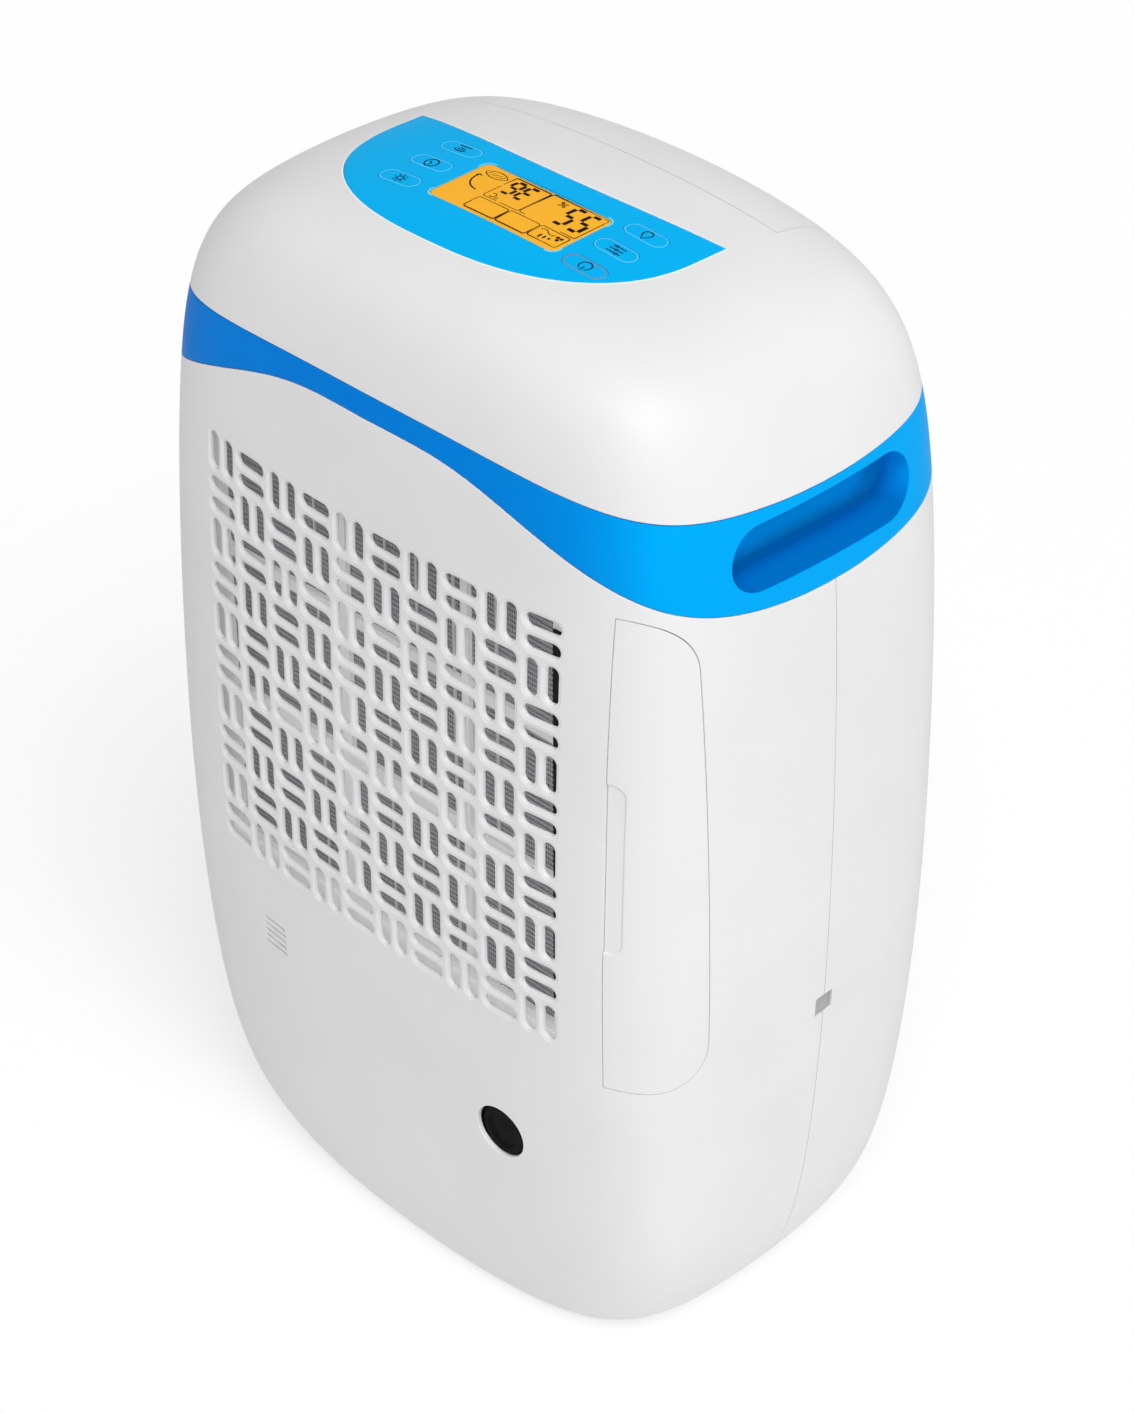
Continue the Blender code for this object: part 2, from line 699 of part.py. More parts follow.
# ---------------------------------------------------------------------------- filter ----
def make_filter():
    door_limit = cutter(prism(door_outline(-0.4), "X", -230.0, DOOR_REAR_X - 0.4), "door_limit")
    door = keep(finish("filter_door", lower_wall(), WHITE), door_limit)
    notch_x = DOOR_REAR_X - NOTCH_DEPTH
    notch = rounded((notch_x, NOTCH_LOW_Z), (DOOR_REAR_X + 6.0, NOTCH_HIGH_Z), 5.0, 2)
    cut(door, cutter(prism(notch, "Y", 90.0, 130.0), "door_notch"))

    frame = finish("filter_frame", block(FILTER_LOW, FILTER_HIGH), WHITE)
    arm = cutter(block((-158.0, FILTER_LOW[1], 300.0), (-139.0, FILTER_HIGH[1], 350.0)), "filter_arm")
    add(frame, arm)
    keep(frame, cutter(core(3.0, 150.0, 470.0, 12), "filter_limit"))
    openings = [block((left, 80.0, low), (right, 120.0, high))
                for left, right in FILTER_CELLS_X for low, high in FILTER_CELLS_Z]
    cut(frame, cutter(merged(*openings), "filter_openings"))
    stays = [block((x - 0.5 * FILTER_STAY, FILTER_LOW[1], FILTER_CELLS_Z[0][0] - 3.0),
                   (x + 0.5 * FILTER_STAY, FILTER_LOW[1] + FILTER_STAY_DEPTH, FILTER_CELLS_Z[-1][1] + 3.0))
             for x in FILTER_STAYS_X]
    add(frame, cutter(merged(*stays), "filter_stays"))
    net_y = FILTER_LOW[1] - 0.8
    finish("filter_mesh", block((FILTER_CELLS_X[0][0] - 4, net_y - 1.1, FILTER_CELLS_Z[0][0] - 4),
                                (FILTER_CELLS_X[-1][1] + 4, net_y, FILTER_CELLS_Z[-1][1] + 4)), MESH_GREY)


def make_drain():
    centre = (DRAIN_X, DRAIN_Z)
    plug = union_of("drain_plug", [rod(111.0, 116.0, "Y", centre, DRAIN_RADIUS - 0.5, 20),
                                   rod(96.0, 112.0, "Y", centre, 5.6)], BLACK)
    spout = finish("drain_spout", rod(84.0, 110.0, "Y", centre, 8.5), GREY)
    cut(spout, cutter(rod(86.0, 112.0, "Y", centre, 6.0), "spout_bore"))
    path = bent([(DRAIN_X, 83.6, DRAIN_Z), (DRAIN_X, 70.0, DRAIN_Z), (DRAIN_X, 70.0, 197.6)], 12.0)
    finish("drain_hose", tube(path, 6.0, 8), GREY)
    return plug


# ----------------------------------------------------------------------------- base ----
def make_base():
    rings = [skin_ring([z] * SIDES, inset)
             for z, inset in ((4.0, PAN_INSET), (18.0, PAN_INSET), (18.0, PAN_INSET + 2.2),
                              (FLOOR_Z, PAN_INSET + 2.2))]
    finish("base_pan", loft(rings), GREY)
    names = ("foot_rear_right", "foot_rear_left", "foot_front_left", "foot_front_right")
    corners = ((1, 1), (-1, 1), (-1, -1), (1, -1))
    for name, (right, rear) in zip(names, corners):
        profile = ((FOOT_RADIUS - 1.0, 0.0), (FOOT_RADIUS, 1.0), (FOOT_RADIUS, 3.7))
        finish(name, turned(profile, (right * FOOT_X, rear * FOOT_Y, 0.0), sides=12), RUBBER)


# ------------------------------------------------------------------- refrigerant circuit ----
def make_compressor():
    centre = (COMPRESSOR_X, COMPRESSOR_Y, 0.0)
    can = ((30.0, 22.0), (43.0, 27.0), (COMPRESSOR_RADIUS, COMPRESSOR_LOW_Z + 2),
           (COMPRESSOR_RADIUS, COMPRESSOR_HIGH_Z - 18), (42.0, COMPRESSOR_HIGH_Z - 6),
           (20.0, COMPRESSOR_HIGH_Z))
    holes = []
    pads = []
    for number, turn in enumerate((20.0, 160.0, 270.0)):
        x = COMPRESSOR_X + MOUNT_CIRCLE * math.cos(math.radians(turn))
        y = COMPRESSOR_Y + MOUNT_CIRCLE * math.sin(math.radians(turn))
        pads.append((x, y))
        rubber = ((7.0, FLOOR_Z + 0.3), (7.0, 10.5), (5.0, 11.5), (5.0, 15.0), (7.0, 16.0), (7.0, 19.7))
        finish("grommet_" + str(number + 1), turned(rubber, (x, y, 0.0), sides=8), RUBBER)
    plate = []
    for x, y in pads:
        away = math.degrees(math.atan2(y - COMPRESSOR_Y, x - COMPRESSOR_X))
        plate += arc((x, y), 9.0, away - 60.0, away + 60.0, 4)
    for x, y in pads:
        holes.append(rod(15.0, 30.0, "Z", (x, y), 3.0, 8))
    compressor = union_of("compressor", [turned(can, centre, sides=18),
                                         prism(plate, "Z", 20.0, 23.0)], STEEL_BLACK)
    cut(compressor, cutter(merged(*holes), "compressor_holes"))
    cover = ((16.0, COMPRESSOR_HIGH_Z + 0.3), (16.0, 189.0), (13.0, 194.0), (5.0, 196.0))
    finish("terminal_cover", turned(cover, centre, sides=16), BLACK)
    vessel = ((6.0, 50.0), (15.0, 56.0), (15.0, 142.0), (6.0, 150.0))
    link = tube(bent([(133, 36, 54), (133, 36, 42), (117.6, 39.4, 42)], 8.0), PIPE_RADIUS)
    union_of("suction_accumulator", [turned(vessel, (133.0, 36.0, 0.0), sides=16), link], STEEL_BLACK)


def make_coil(name, low_y, high_y, side, first_z):
    """A finned block with end plates and the return bends of its tubes."""
    coil = finish(name, block((-COIL_HALF_WIDTH, low_y, COIL_LOW_Z),
                              (COIL_HALF_WIDTH, high_y, COIL_HIGH_Z)), FINS)
    for end in (-1, 1):
        low, high = sorted((end * (COIL_HALF_WIDTH - 1.0), end * (COIL_HALF_WIDTH + 1.5)))
        add(coil, cutter(block((low, low_y - 0.6, COIL_LOW_Z - 1), (high, high_y + 0.6, COIL_HIGH_Z + 1)),
                         name + "_plate"))
    bends = []
    middle = 0.5 * (low_y + high_y)
    for k in range(3):
        z = first_z + 70.0 * k
        reach = side * COIL_HALF_WIDTH
        path = bent([(reach, middle, z), (reach + side * 9.0, middle, z),
                     (reach + side * 9.0, middle, z + 25.0), (reach, middle, z + 25.0)], 8.0, 2)
        bends.append(tube(path, PIPE_RADIUS, 6))
    add(coil, cutter(merged(*bends), name + "_bends"))


def make_refrigerant():
    make_compressor()
    make_coil("evaporator", *EVAPORATOR_Y, -1, 226.0)
    make_coil("condenser", *CONDENSER_Y, 1, 226.0)
    end = COIL_HALF_WIDTH + 1.5 + GAP
    warm = 0.5 * sum(CONDENSER_Y)
    cold = 0.5 * sum(EVAPORATOR_Y)
    runs = (
        ("discharge_pipe", PIPE_RADIUS, [(92, warm, 178.4), (92, warm, 188), (137, warm, 188),
                                         (137, warm, 436), (end, warm, 436)]),
        ("suction_pipe", PIPE_RADIUS, [(end, cold, 240), (146, cold, 240), (146, cold, 196),
                                       (146, 36, 176), (133, 36, 168), (133, 36, 150.4)]),
        ("liquid_pipe", PIPE_RADIUS, [(-end, warm, 222), (-134, warm, 222), (-134, warm, 249.6)]),
        ("capillary_tube", 1.3, [(-134, warm, 300.4), (-134, warm, 434), (-134, cold, 434),
                                 (-end, cold, 434)]),
    )
    for name, radius, path in runs:
        finish(name, tube(bent(path, 10.0, 2), radius, 6), COPPER)
    drier = ((3.0, 250.0), (9.0, 257.0), (9.0, 293.0), (3.0, 300.0))
    finish("filter_drier", turned(drier, (-134.0, warm, 0.0), sides=14), COPPER)


def make_drip_tray():
    tray_y = EVAPORATOR_Y[1] + 1.2
    tray = union_of("drip_tray", [block((-124, 32, 198), (124, tray_y, 210)),
                                  block((-88, -42, 196), (-72, 40, 206)),
                                  rod(183.0, 197.0, "Z", (-80.0, -34.0), 6.5)], GREY)
    cut(tray, cutter(block((-122, 34, 200), (122, tray_y - 2, 214)), "tray_space"),
        cutter(block((-86, -40, 200), (-74, 45, 214)), "chute_space"),
        cutter(rod(180.0, 203.0, "Z", (-80.0, -34.0), 4.5), "spout_space"))


# ------------------------------------------------------------------------------ fan ----
def scroll_outline(inset):
    """Spiral fan casing in X and Z: it widens clockwise from the tongue to the upward outlet."""
    points = []
    steps = 14
    for k in range(steps + 1):
        turn = math.radians(48.0 - 228.0 * k / steps)
        radius = 88.0 + 24.0 * k / steps - inset
        points.append((radius * math.cos(turn), FAN_Z + radius * math.sin(turn)))
    top = 532.5
    points += [(-97.0 + inset, 480.0), (-97.0 + inset, top), (97.0 - inset, top), (97.0 - inset, 480.0)]
    return points


def make_fan():
    front, rear = FAN_Y
    wall = 2.0
    casing = finish("fan_scroll", prism(scroll_outline(0.0), "Y", front, rear), GREY)
    wedge = [(rear + 1.0, 470.0), (-49.0, 533.5), (rear + 1.0, 533.5)]
    inner_wedge = [(rear + 1.0, 466.0), (-52.0, 533.6), (-52.0, 540.0), (rear + 1.0, 540.0)]
    cut(casing, cutter(prism(wedge, "X", -120.0, 120.0), "scroll_slope"))
    space = cutter(prism(scroll_outline(wall), "Y", front + wall, rear - wall), "scroll_space")
    cut(space, cutter(prism(inner_wedge, "X", -121.0, 121.0), "space_slope"))
    mouth = block((-97.0 + wall, front + wall, 525.0), (97.0 - wall, -54.0, 536.0))
    cut(casing, space, cutter(mouth, "scroll_mouth"),
        cutter(rod(rear - 4.0, rear + 4.0, "Y", (0.0, FAN_Z), 62.0, 28), "scroll_inlet"),
        cutter(rod(front - 4.0, front + 4.0, "Y", (0.0, FAN_Z), 34.0, 20), "motor_opening"))

    centre = (0.0, FAN_Z)
    plate_y = front + 6.0
    impeller = finish("fan_impeller", rod(plate_y, plate_y + 2.0, "Y", centre, IMPELLER_RADIUS, 24), GREY)
    add(impeller, cutter(rod(plate_y + 1.0, plate_y + 22.0, "Y", centre, 12.0, 12), "fan_hub"))
    blades = []
    for k in range(IMPELLER_BLADES):
        turn = 2.0 * math.pi * k / IMPELLER_BLADES
        blade = []
        for radius, lag in ((64.0, 0.0), (76.5, 0.12), (76.5, 0.10), (64.0, -0.025)):
            blade.append((radius * math.cos(turn + lag), FAN_Z + radius * math.sin(turn + lag)))
        blades.append(prism(blade, "Y", plate_y + 1.0, rear - 7.0))
    ring = rod(rear - 8.0, rear - 6.0, "Y", centre, IMPELLER_RADIUS, 24)
    ring_solid = cutter(ring, "fan_ring")
    cut(ring_solid, cutter(rod(rear - 10.0, rear - 4.0, "Y", centre, 66.0, 24), "ring_opening"))
    add(impeller, cutter(merged(*blades), "fan_blades"), ring_solid)
    cut(impeller, cutter(rod(plate_y - 2.0, plate_y + 30.0, "Y", centre, 3.3, 10), "fan_bore"))

    finish("fan_shaft", rod(plate_y - 1.5, plate_y + 24.0, "Y", centre, 3.0, 10), STEEL)
    motor = ((26.0, front - 24.0), (32.0, front - 20.0), (32.0, front - 2.0), (20.0, front + 4.0))
    finish("fan_motor", turned(motor, (0.0, 0.0, FAN_Z), "Y", 20), STEEL)
    bracket = finish("motor_bracket", prism(rounded((-46.0, FAN_Z - 46.0), (46.0, FAN_Z + 46.0), 10.0, 2),
                                            "Y", front - 3.3, front - 0.3), STEEL)
    cut(bracket, cutter(rod(front - 8.0, front + 2.0, "Y", centre, 32.4, 20), "bracket_opening"))


# ----------------------------------------------------------------------------- tank ----
def make_tank():
    body = keep(finish("water_tank", core(4.0, 10.0, 190.0, 9), CLEAR),
                cutter(block((-TANK_HALF_WIDTH, -160, TANK_LOW_Z),
                             (TANK_HALF_WIDTH, TANK_BACK_Y, TANK_HIGH_Z)), "tank_limit"))
    space = cutter(core(4.0 + TANK_WALL, 12.0, 195.0, 9), "tank_space")
    inner = TANK_HALF_WIDTH - TANK_WALL
    keep(space, cutter(block((-inner, -160, TANK_LOW_Z + TANK_WALL),
                             (inner, TANK_BACK_Y - TANK_WALL, 194.0)), "tank_space_limit"))
    cut(body, space)
    lugs = [cutter(block((x, -30.0, 142.0), (x + 4.0, TANK_BACK_Y - 1.0, 156.0)), "float_lug")
            for x in (48.0, 103.0)]
    add(body, *lugs)
    pivot = (-24.0, 150.0)
    cut(body, cutter(rod(40.0, 112.0, "X", pivot, 2.3, 10), "float_bore"))
    union_of("tank_float", [rod(49.0, 106.0, "X", pivot, 2.0, 10),
                            block((60.0, -45.0, 148.0), (95.0, -22.5, 151.5)),
                            prism(rounded((62.0, -82.0), (93.0, -44.0), 6.0, 3), "Z", 128.0, 151.5)], WHITE)

    panel = keep(finish("tank_front", lower_wall(), WHITE),
                 cutter(prism(tank_outline(-0.7), "Y", -150.0, -60.0), "tank_front_limit"))
    grip = cutter(prism(rounded((-56.0, 183.0), (56.0, 203.0), 9.9, 3), "Y", -150.0, -100.0), "grip_cup")
    keep(grip, cutter(core(0.9, 150.0, 230.0, 6), "grip_limit"))
    add(panel, grip)
    scoop = rounded((-54.0, 185.0), (54.0, 201.0), 7.9, 3)
    cut(panel, cutter(prism(scoop, "Y", -150.0, -102.0), "grip_space"))

    lid = keep(finish("tank_lid", core(4.0, 170.0, 190.0, 2), WHITE),
               cutter(block((-TANK_HALF_WIDTH, -160, TANK_HIGH_Z + GAP),
                            (TANK_HALF_WIDTH, TANK_BACK_Y, TANK_HIGH_Z + 2.8)), "lid_limit"))
    for x in (-48.0, 44.0):
        add(lid, cutter(block((x, TANK_HANDLE_Y - 4, TANK_HIGH_Z + 1),
                              (x + 4, TANK_HANDLE_Y + 4, TANK_HANDLE_Z + 4)), "handle_lug"))
    cut(lid, cutter(rod(-60.0, 60.0, "X", (TANK_HANDLE_Y, TANK_HANDLE_Z), 2.3, 10), "handle_bore"),
        cutter(rod(170.0, 190.0, "Z", (-80.0, -34.0), 14.0, 16), "filling_hole"))
    reach = TANK_HANDLE_Y - 44.0
    path = [(-43.0, TANK_HANDLE_Y, TANK_HANDLE_Z), (-52.5, TANK_HANDLE_Y, TANK_HANDLE_Z),
            (-52.5, reach, TANK_HANDLE_Z), (52.5, reach, TANK_HANDLE_Z),
            (52.5, TANK_HANDLE_Y, TANK_HANDLE_Z), (43.0, TANK_HANDLE_Y, TANK_HANDLE_Z)]
    finish("tank_handle", tube(bent(path, 3.5, 2), 2.0, 6), WHITE)
    finish("level_switch", prism(rounded((60.0, 148.0), (90.0, 172.0), 3.0, 2), "Y", -12.5, -4.0), BLACK)


# ------------------------------------------------------------------------ electrics ----
def inlet_outline(grow):
    return rounded((INLET_Y - 15 - grow, INLET_Z - 11 - grow), (INLET_Y + 15 + grow, INLET_Z + 11 + grow),
                   3.0, 2)


def make_electrics():
    finish("control_box", prism(rounded((-146.0, 4.0), (-72.0, 60.0), 4.0, 2), "Z", 40.0, 150.0), BLACK)
    finish("run_capacitor", rod(FLOOR_Z + 0.5, 92.0, "Z", (-30.0, 62.0), 19.0, 18), STEEL)
    board = [block((-84.0, -18.0, 563.0), (84.0, 56.0, 565.0)),
             block((-40.0, 0.0, 564.5), (40.0, 36.0, 570.0))]
    switches = []
    for name, x, row in KEYS:
        switches.append(rod(564.0, 574.3, "Z", (x, KEY_Y[row]), 3.0, 8))
    display = union_of("display_board", board, BOARD)
    add(display, cutter(merged(*switches), "key_switches"))
    finish("humidity_sensor", block((75.0, 106.0, 156.0), (89.0, 109.0, 171.0)), BOARD)

    inlet = finish("power_inlet", prism(inlet_outline(0.0), "X", 140.0, INLET_FACE_X), BLACK)
    socket = rounded((INLET_Y - 12, INLET_Z - 8), (INLET_Y + 12, INLET_Z + 8), 3.0, 2)
    cut(inlet, cutter(prism(socket, "X", INLET_FACE_X - 17.0, 190.0), "inlet_socket"))
    pins = []
    for y, z in ((-7.0, -2.0), (0.0, 2.0), (7.0, -2.0)):
        low = (INLET_FACE_X - 19.0, INLET_Y + y - 1.0, INLET_Z + z - 2.0)
        pins.append(block(low, (INLET_FACE_X - 3.0, INLET_Y + y + 1.0, INLET_Z + z + 2.0)))
    add(inlet, cutter(merged(*pins), "inlet_pins"))


def main():
    for old in list(bpy.data.objects):
        bpy.data.objects.remove(old)
    make_housings()
    make_band()
    cover, flap = make_top()
    make_flap_drive(flap)
    make_filter()
    make_drain()
    make_base()
    make_refrigerant()
    make_drip_tray()
    make_fan()
    make_tank()
    make_electrics()


main()
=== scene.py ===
"""Looks of the compressor dehumidifier: shells, printed panel, coils and materials round its frame.

Lengths are in millimetres until a mesh is made. The front faces -Y and the intake grille +Y.
"""

import math

import bmesh
import bpy
import numpy as np
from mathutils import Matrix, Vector


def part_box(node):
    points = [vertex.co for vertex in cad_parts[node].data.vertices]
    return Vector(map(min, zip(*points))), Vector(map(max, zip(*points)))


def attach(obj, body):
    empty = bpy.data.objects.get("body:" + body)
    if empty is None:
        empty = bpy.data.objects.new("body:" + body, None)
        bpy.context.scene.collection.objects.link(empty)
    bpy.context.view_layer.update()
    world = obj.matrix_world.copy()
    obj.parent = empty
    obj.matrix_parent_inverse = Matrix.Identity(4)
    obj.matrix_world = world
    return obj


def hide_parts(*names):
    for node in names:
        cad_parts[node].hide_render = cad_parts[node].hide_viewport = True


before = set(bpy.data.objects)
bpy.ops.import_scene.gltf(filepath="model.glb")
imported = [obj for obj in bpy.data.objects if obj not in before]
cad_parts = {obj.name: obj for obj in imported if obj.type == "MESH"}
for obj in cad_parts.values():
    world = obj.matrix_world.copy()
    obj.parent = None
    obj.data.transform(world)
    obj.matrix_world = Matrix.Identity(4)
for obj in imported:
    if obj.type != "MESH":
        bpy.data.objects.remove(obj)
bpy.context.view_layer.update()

MM = 0.001


def size_of(node):
    """The lowest and highest corners of a frame node, in millimetres."""
    low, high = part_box(node)
    return np.array(low) / MM, np.array(high) / MM


# --- driving sizes ---
# The skin is where plan_sum(x, y) ** PLAN_POWER + height_sum(z) = 1.
HALF_WIDTH = 187.8
HALF_DEPTH = 123.4
WIDTH_ROUND = 0.495
DEPTH_ROUND = 0.216
CORNER_POWER = 5.87
PLAN_POWER = 1.17
WIDEST_Z = 263.0
RISE = 319.29
RISE_ROUND = 0.407
RISE_POWER = 8.93
DROP = 287.6
DROP_ROUND = 0.524
DROP_POWER = 7.45

WALL = 2.5
GAP = 0.3
SEAM_Y = -5.0
SHELL_BOTTOM = 3.0
EDGE = 0.6               # rounding of the moulded edges
SIDES = 192              # points round a shell

# The height of a band edge is a level and waves of 2, 4 and 6 swings in a turn about BAND_MIDDLE_Y.
BAND_MIDDLE_Y = -8.0
BAND_TOP = (512.15, -9.75, -1.99)
BAND_BOTTOM = (482.4, -31.1, -3.64, 2.16)

GRILLE_CELLS = 10
GRILLE_PITCH = 24.5
GRILLE_X = -1.6
GRILLE_Z = 331.5
SLOT_LENGTH = 20.3
SLOT_WIDTH = 7.4
SLOT_SPREAD = 5.9
# (growth, depth) pairs: a shallow border round each slot, then a rounded edge into the hole
SLOT_RIM = ((1.7, -4.0), (1.7, 0.0), (1.3, 0.3), (0.5, 0.35), (0.15, 0.5), (0.0, 0.9), (0.0, 6.0))

HANDLE_Y = -1.6
HANDLE_Z = 478.4
HANDLE_LENGTH = 119.2
HANDLE_HEIGHT = 35.0
HANDLE_TAPER = 2.8       # how much the lower edge rises toward the rear
HANDLE_INNER_X = 154.0
POCKET_WALL = 2.0
RECESS_DEPTH = 3.2       # the recess takes its look with painted shade from here inward
CLIP_Z = 203.0
CLIP_HALF = 6.0


# --- cabinet form ---
def mixed(u, share, power):
    """A share of a parabola and the rest of a steep power: 0 at 0 and 1 at 1."""
    return share * u * u + (1.0 - share) * u ** power


def slope(u, share, power):
    """The derivative of mixed()."""
    return 2.0 * share * u + (1.0 - share) * power * u ** (power - 1.0)


def height_sum(z, inset=0.0):
    up = mixed(np.maximum(z - WIDEST_Z, 0.0) / (RISE - inset), RISE_ROUND, RISE_POWER)
    down = mixed(np.maximum(WIDEST_Z - z, 0.0) / (DROP - inset), DROP_ROUND, DROP_POWER)
    return up + down


def plan_sum(x, y, inset=0.0):
    across = mixed(np.abs(x) / (HALF_WIDTH - inset), WIDTH_ROUND, CORNER_POWER)
    return across + mixed(np.abs(y) / (HALF_DEPTH - inset), DEPTH_ROUND, CORNER_POWER)


def room(z, inset=0.0):
    """The plan sum that the skin has at a height."""
    return np.maximum(1.0 - height_sum(z, inset), 0.0) ** (1.0 / PLAN_POWER)


def solve(inside, low, high, *like):
    """The largest value for which inside(value) holds, by halving, for arrays shaped like the rest."""
    shape = np.broadcast(*[np.asarray(a, float) for a in like]).shape
    low = np.full(shape, float(low))
    high = np.full(shape, float(high))
    for _ in range(44):
        middle = 0.5 * (low + high)
        fits = inside(middle)
        low = np.where(fits, middle, low)
        high = np.where(fits, high, middle)
    return low


def skin_radius(angle, z, inset=0.0):
    limit = room(z, inset)
    c, s = np.cos(angle), np.sin(angle)
    return solve(lambda r: plan_sum(r * c, r * s, inset) < limit, 0.0, 260.0, angle, z, inset)


def skin_x(y, z):
    limit = room(z)
    return solve(lambda x: plan_sum(x, y) < limit, 0.0, 260.0, y, z)


def skin_y(x, z):
    limit = room(z)
    return solve(lambda y: plan_sum(x, y) < limit, 0.0, 260.0, x, z)


def skin_z(x, y):
    plan = plan_sum(x, y)
    return solve(lambda z: room(z) > plan, WIDEST_Z, WIDEST_Z + RISE, x, y)


def skin_normals(points):
    """Unit normals of the form through each point, and the distance of each point from the skin."""
    x, y, z = points.T
    u, v = np.abs(x) / HALF_WIDTH, np.abs(y) / HALF_DEPTH
    plan = plan_sum(x, y)
    steep = PLAN_POWER * np.maximum(plan, 1e-9) ** (PLAN_POWER - 1.0)
    gx = steep * slope(u, WIDTH_ROUND, CORNER_POWER) / HALF_WIDTH * np.sign(x)
    gy = steep * slope(v, DEPTH_ROUND, CORNER_POWER) / HALF_DEPTH * np.sign(y)
    up = slope(np.maximum(z - WIDEST_Z, 0.0) / RISE, RISE_ROUND, RISE_POWER) / RISE
    down = slope(np.maximum(WIDEST_Z - z, 0.0) / DROP, DROP_ROUND, DROP_POWER) / DROP
    gradient = np.stack([gx, gy, up - down], axis=1)
    size = np.maximum(np.linalg.norm(gradient, axis=1), 1e-9)
    value = plan ** PLAN_POWER + height_sum(z) - 1.0
    return gradient / size[:, None], value / size


def directions():
    """Turning angles, closer together round the corners than along the flat sides."""
    turn = 2.0 * np.pi * np.arange(SIDES) / SIDES
    across = np.sign(np.cos(turn)) * np.abs(np.cos(turn)) ** 0.62
    deep = np.sign(np.sin(turn)) * np.abs(np.sin(turn)) ** 0.62
    return np.arctan2(HALF_DEPTH * deep, HALF_WIDTH * across)


def wave(terms):
    """Heights of a band edge along directions()."""
    angle = directions()
    radius = skin_radius(angle, 480.0)
    turn = np.arctan2(radius * np.sin(angle) - BAND_MIDDLE_Y, radius * np.cos(angle))
    return sum(size * np.cos(2.0 * k * turn) for k, size in enumerate(terms))


def skin_ring(z, inset):
    """A ring of points on the skin; z is one height or one for each direction."""
    angle = directions()
    z = np.broadcast_to(z, angle.shape)
    radius = skin_radius(angle, z, inset)
    return np.stack([radius * np.cos(angle), radius * np.sin(angle), z], axis=1)


# --- solids ---
def lofted(rings, ends="cap"):
    """Points and faces through rings; ends is cap, wrap, or the two points that close it."""
    count = len(rings[0])
    points = np.concatenate(rings)
    rows = len(rings)
    faces = []
    last = rows if ends == "wrap" else rows - 1
    for i in range(last):
        low, high = i * count, (i + 1) % rows * count
        for j in range(count):
            k = (j + 1) % count
            faces.append((low + j, low + k, high + k, high + j))
    if ends == "wrap":
        return points, faces
    top = (rows - 1) * count
    if ends == "cap":
        faces.append(tuple(reversed(range(count))))
        faces.append(tuple(range(top, top + count)))
        return points, faces
    points = np.concatenate([points, np.array(ends, float)])
    for j in range(count):
        k = (j + 1) % count
        faces.append((k, j, rows * count))
        faces.append((top + j, top + k, rows * count + 1))
    return points, faces


def joined(shapes):
    """Several shapes as one list of points and faces."""
    points, faces, start = [], [], 0
    for some, more in shapes:
        points.append(some)
        faces += [tuple(i + start for i in face) for face in more]
        start += len(some)
    return np.concatenate(points), faces


def placed(outline, axis, depth):
    """A flat outline as 3-D points; its two coordinates are the other two axes, in X, Y, Z order."""
    return np.insert(np.asarray(outline, float), "XYZ".index(axis), depth, axis=1)


def prism(outline, axis, low, high):
    return lofted([placed(outline, axis, low), placed(outline, axis, high)])


def block(low, high):
    outline = [(low[0], low[1]), (high[0], low[1]), (high[0], high[1]), (low[0], high[1])]
    return prism(outline, "Z", low[2], high[2])


def arc(centre, radius, start, end, steps):
    turn = np.radians(np.linspace(start, end, steps + 1))
    return np.stack([centre[0] + radius * np.cos(turn), centre[1] + radius * np.sin(turn)], axis=1)


def circle(centre, radius, steps=48):
    return arc(centre, radius, 0.0, 360.0 - 360.0 / steps, steps - 1)


def rounded(low, high, radius, steps=8, straight=0):
    """A rectangle with round corners and a number of extra points along each straight side."""
    corners = ((high[0] - radius, low[1] + radius, -90), (high[0] - radius, high[1] - radius, 0),
               (low[0] + radius, high[1] - radius, 90), (low[0] + radius, low[1] + radius, 180))
    arcs = [arc((a, b), radius, turn, turn + 90, steps) for a, b, turn in corners]
    parts = []
    for this, after in zip(arcs, arcs[1:] + arcs[:1]):
        parts += [this, np.linspace(this[-1], after[0], straight + 2)[1:-1]]
    return np.concatenate(parts)


def rounded_block(low, high, axis, corner, edge=0.4, steps=5):
    """A box with round upright corners along an axis and softened rims."""
    keep = [i for i in range(3) if i != "XYZ".index(axis)]
    depth = "XYZ".index(axis)
    a, b = np.array(low, float)[keep], np.array(high, float)[keep]
    rims = ((0.0, edge), (0.3 * edge, 0.3 * edge), (edge, 0.0))
    levels = [(low[depth] + shift, inset) for shift, inset in rims]
    levels += [(high[depth] - shift, inset) for shift, inset in rims[::-1]]
    return lofted([placed(rounded(a + inset, b - inset, max(corner - inset, 0.05), steps), axis, level)
                   for level, inset in levels])


def turned(profile, centre, axis, sides):
    """A solid of revolution; profile holds (radius, height) from bottom to top."""
    rings = [placed(circle((0.0, 0.0), radius, sides), axis, height) for radius, height in profile]
    return lofted([ring + np.array(centre, float) for ring in rings])


def tube(path, radius, sides=12):
    """A round bar along a path of points, with flat ends."""
    points = [Vector(point) for point in path]
    rings = []
    side = None
    for i, point in enumerate(points):
        along = (points[min(i + 1, len(points) - 1)] - points[max(i - 1, 0)]).normalized()
        if side is None:
            side = along.orthogonal().normalized()
        side = (side - along * side.dot(along)).normalized()
        up = along.cross(side)
        turns = [2.0 * math.pi * k / sides for k in range(sides)]
        ring = [point + radius * (math.cos(t) * side + math.sin(t) * up) for t in turns]
        rings.append(np.array(ring))
    return lofted(rings)


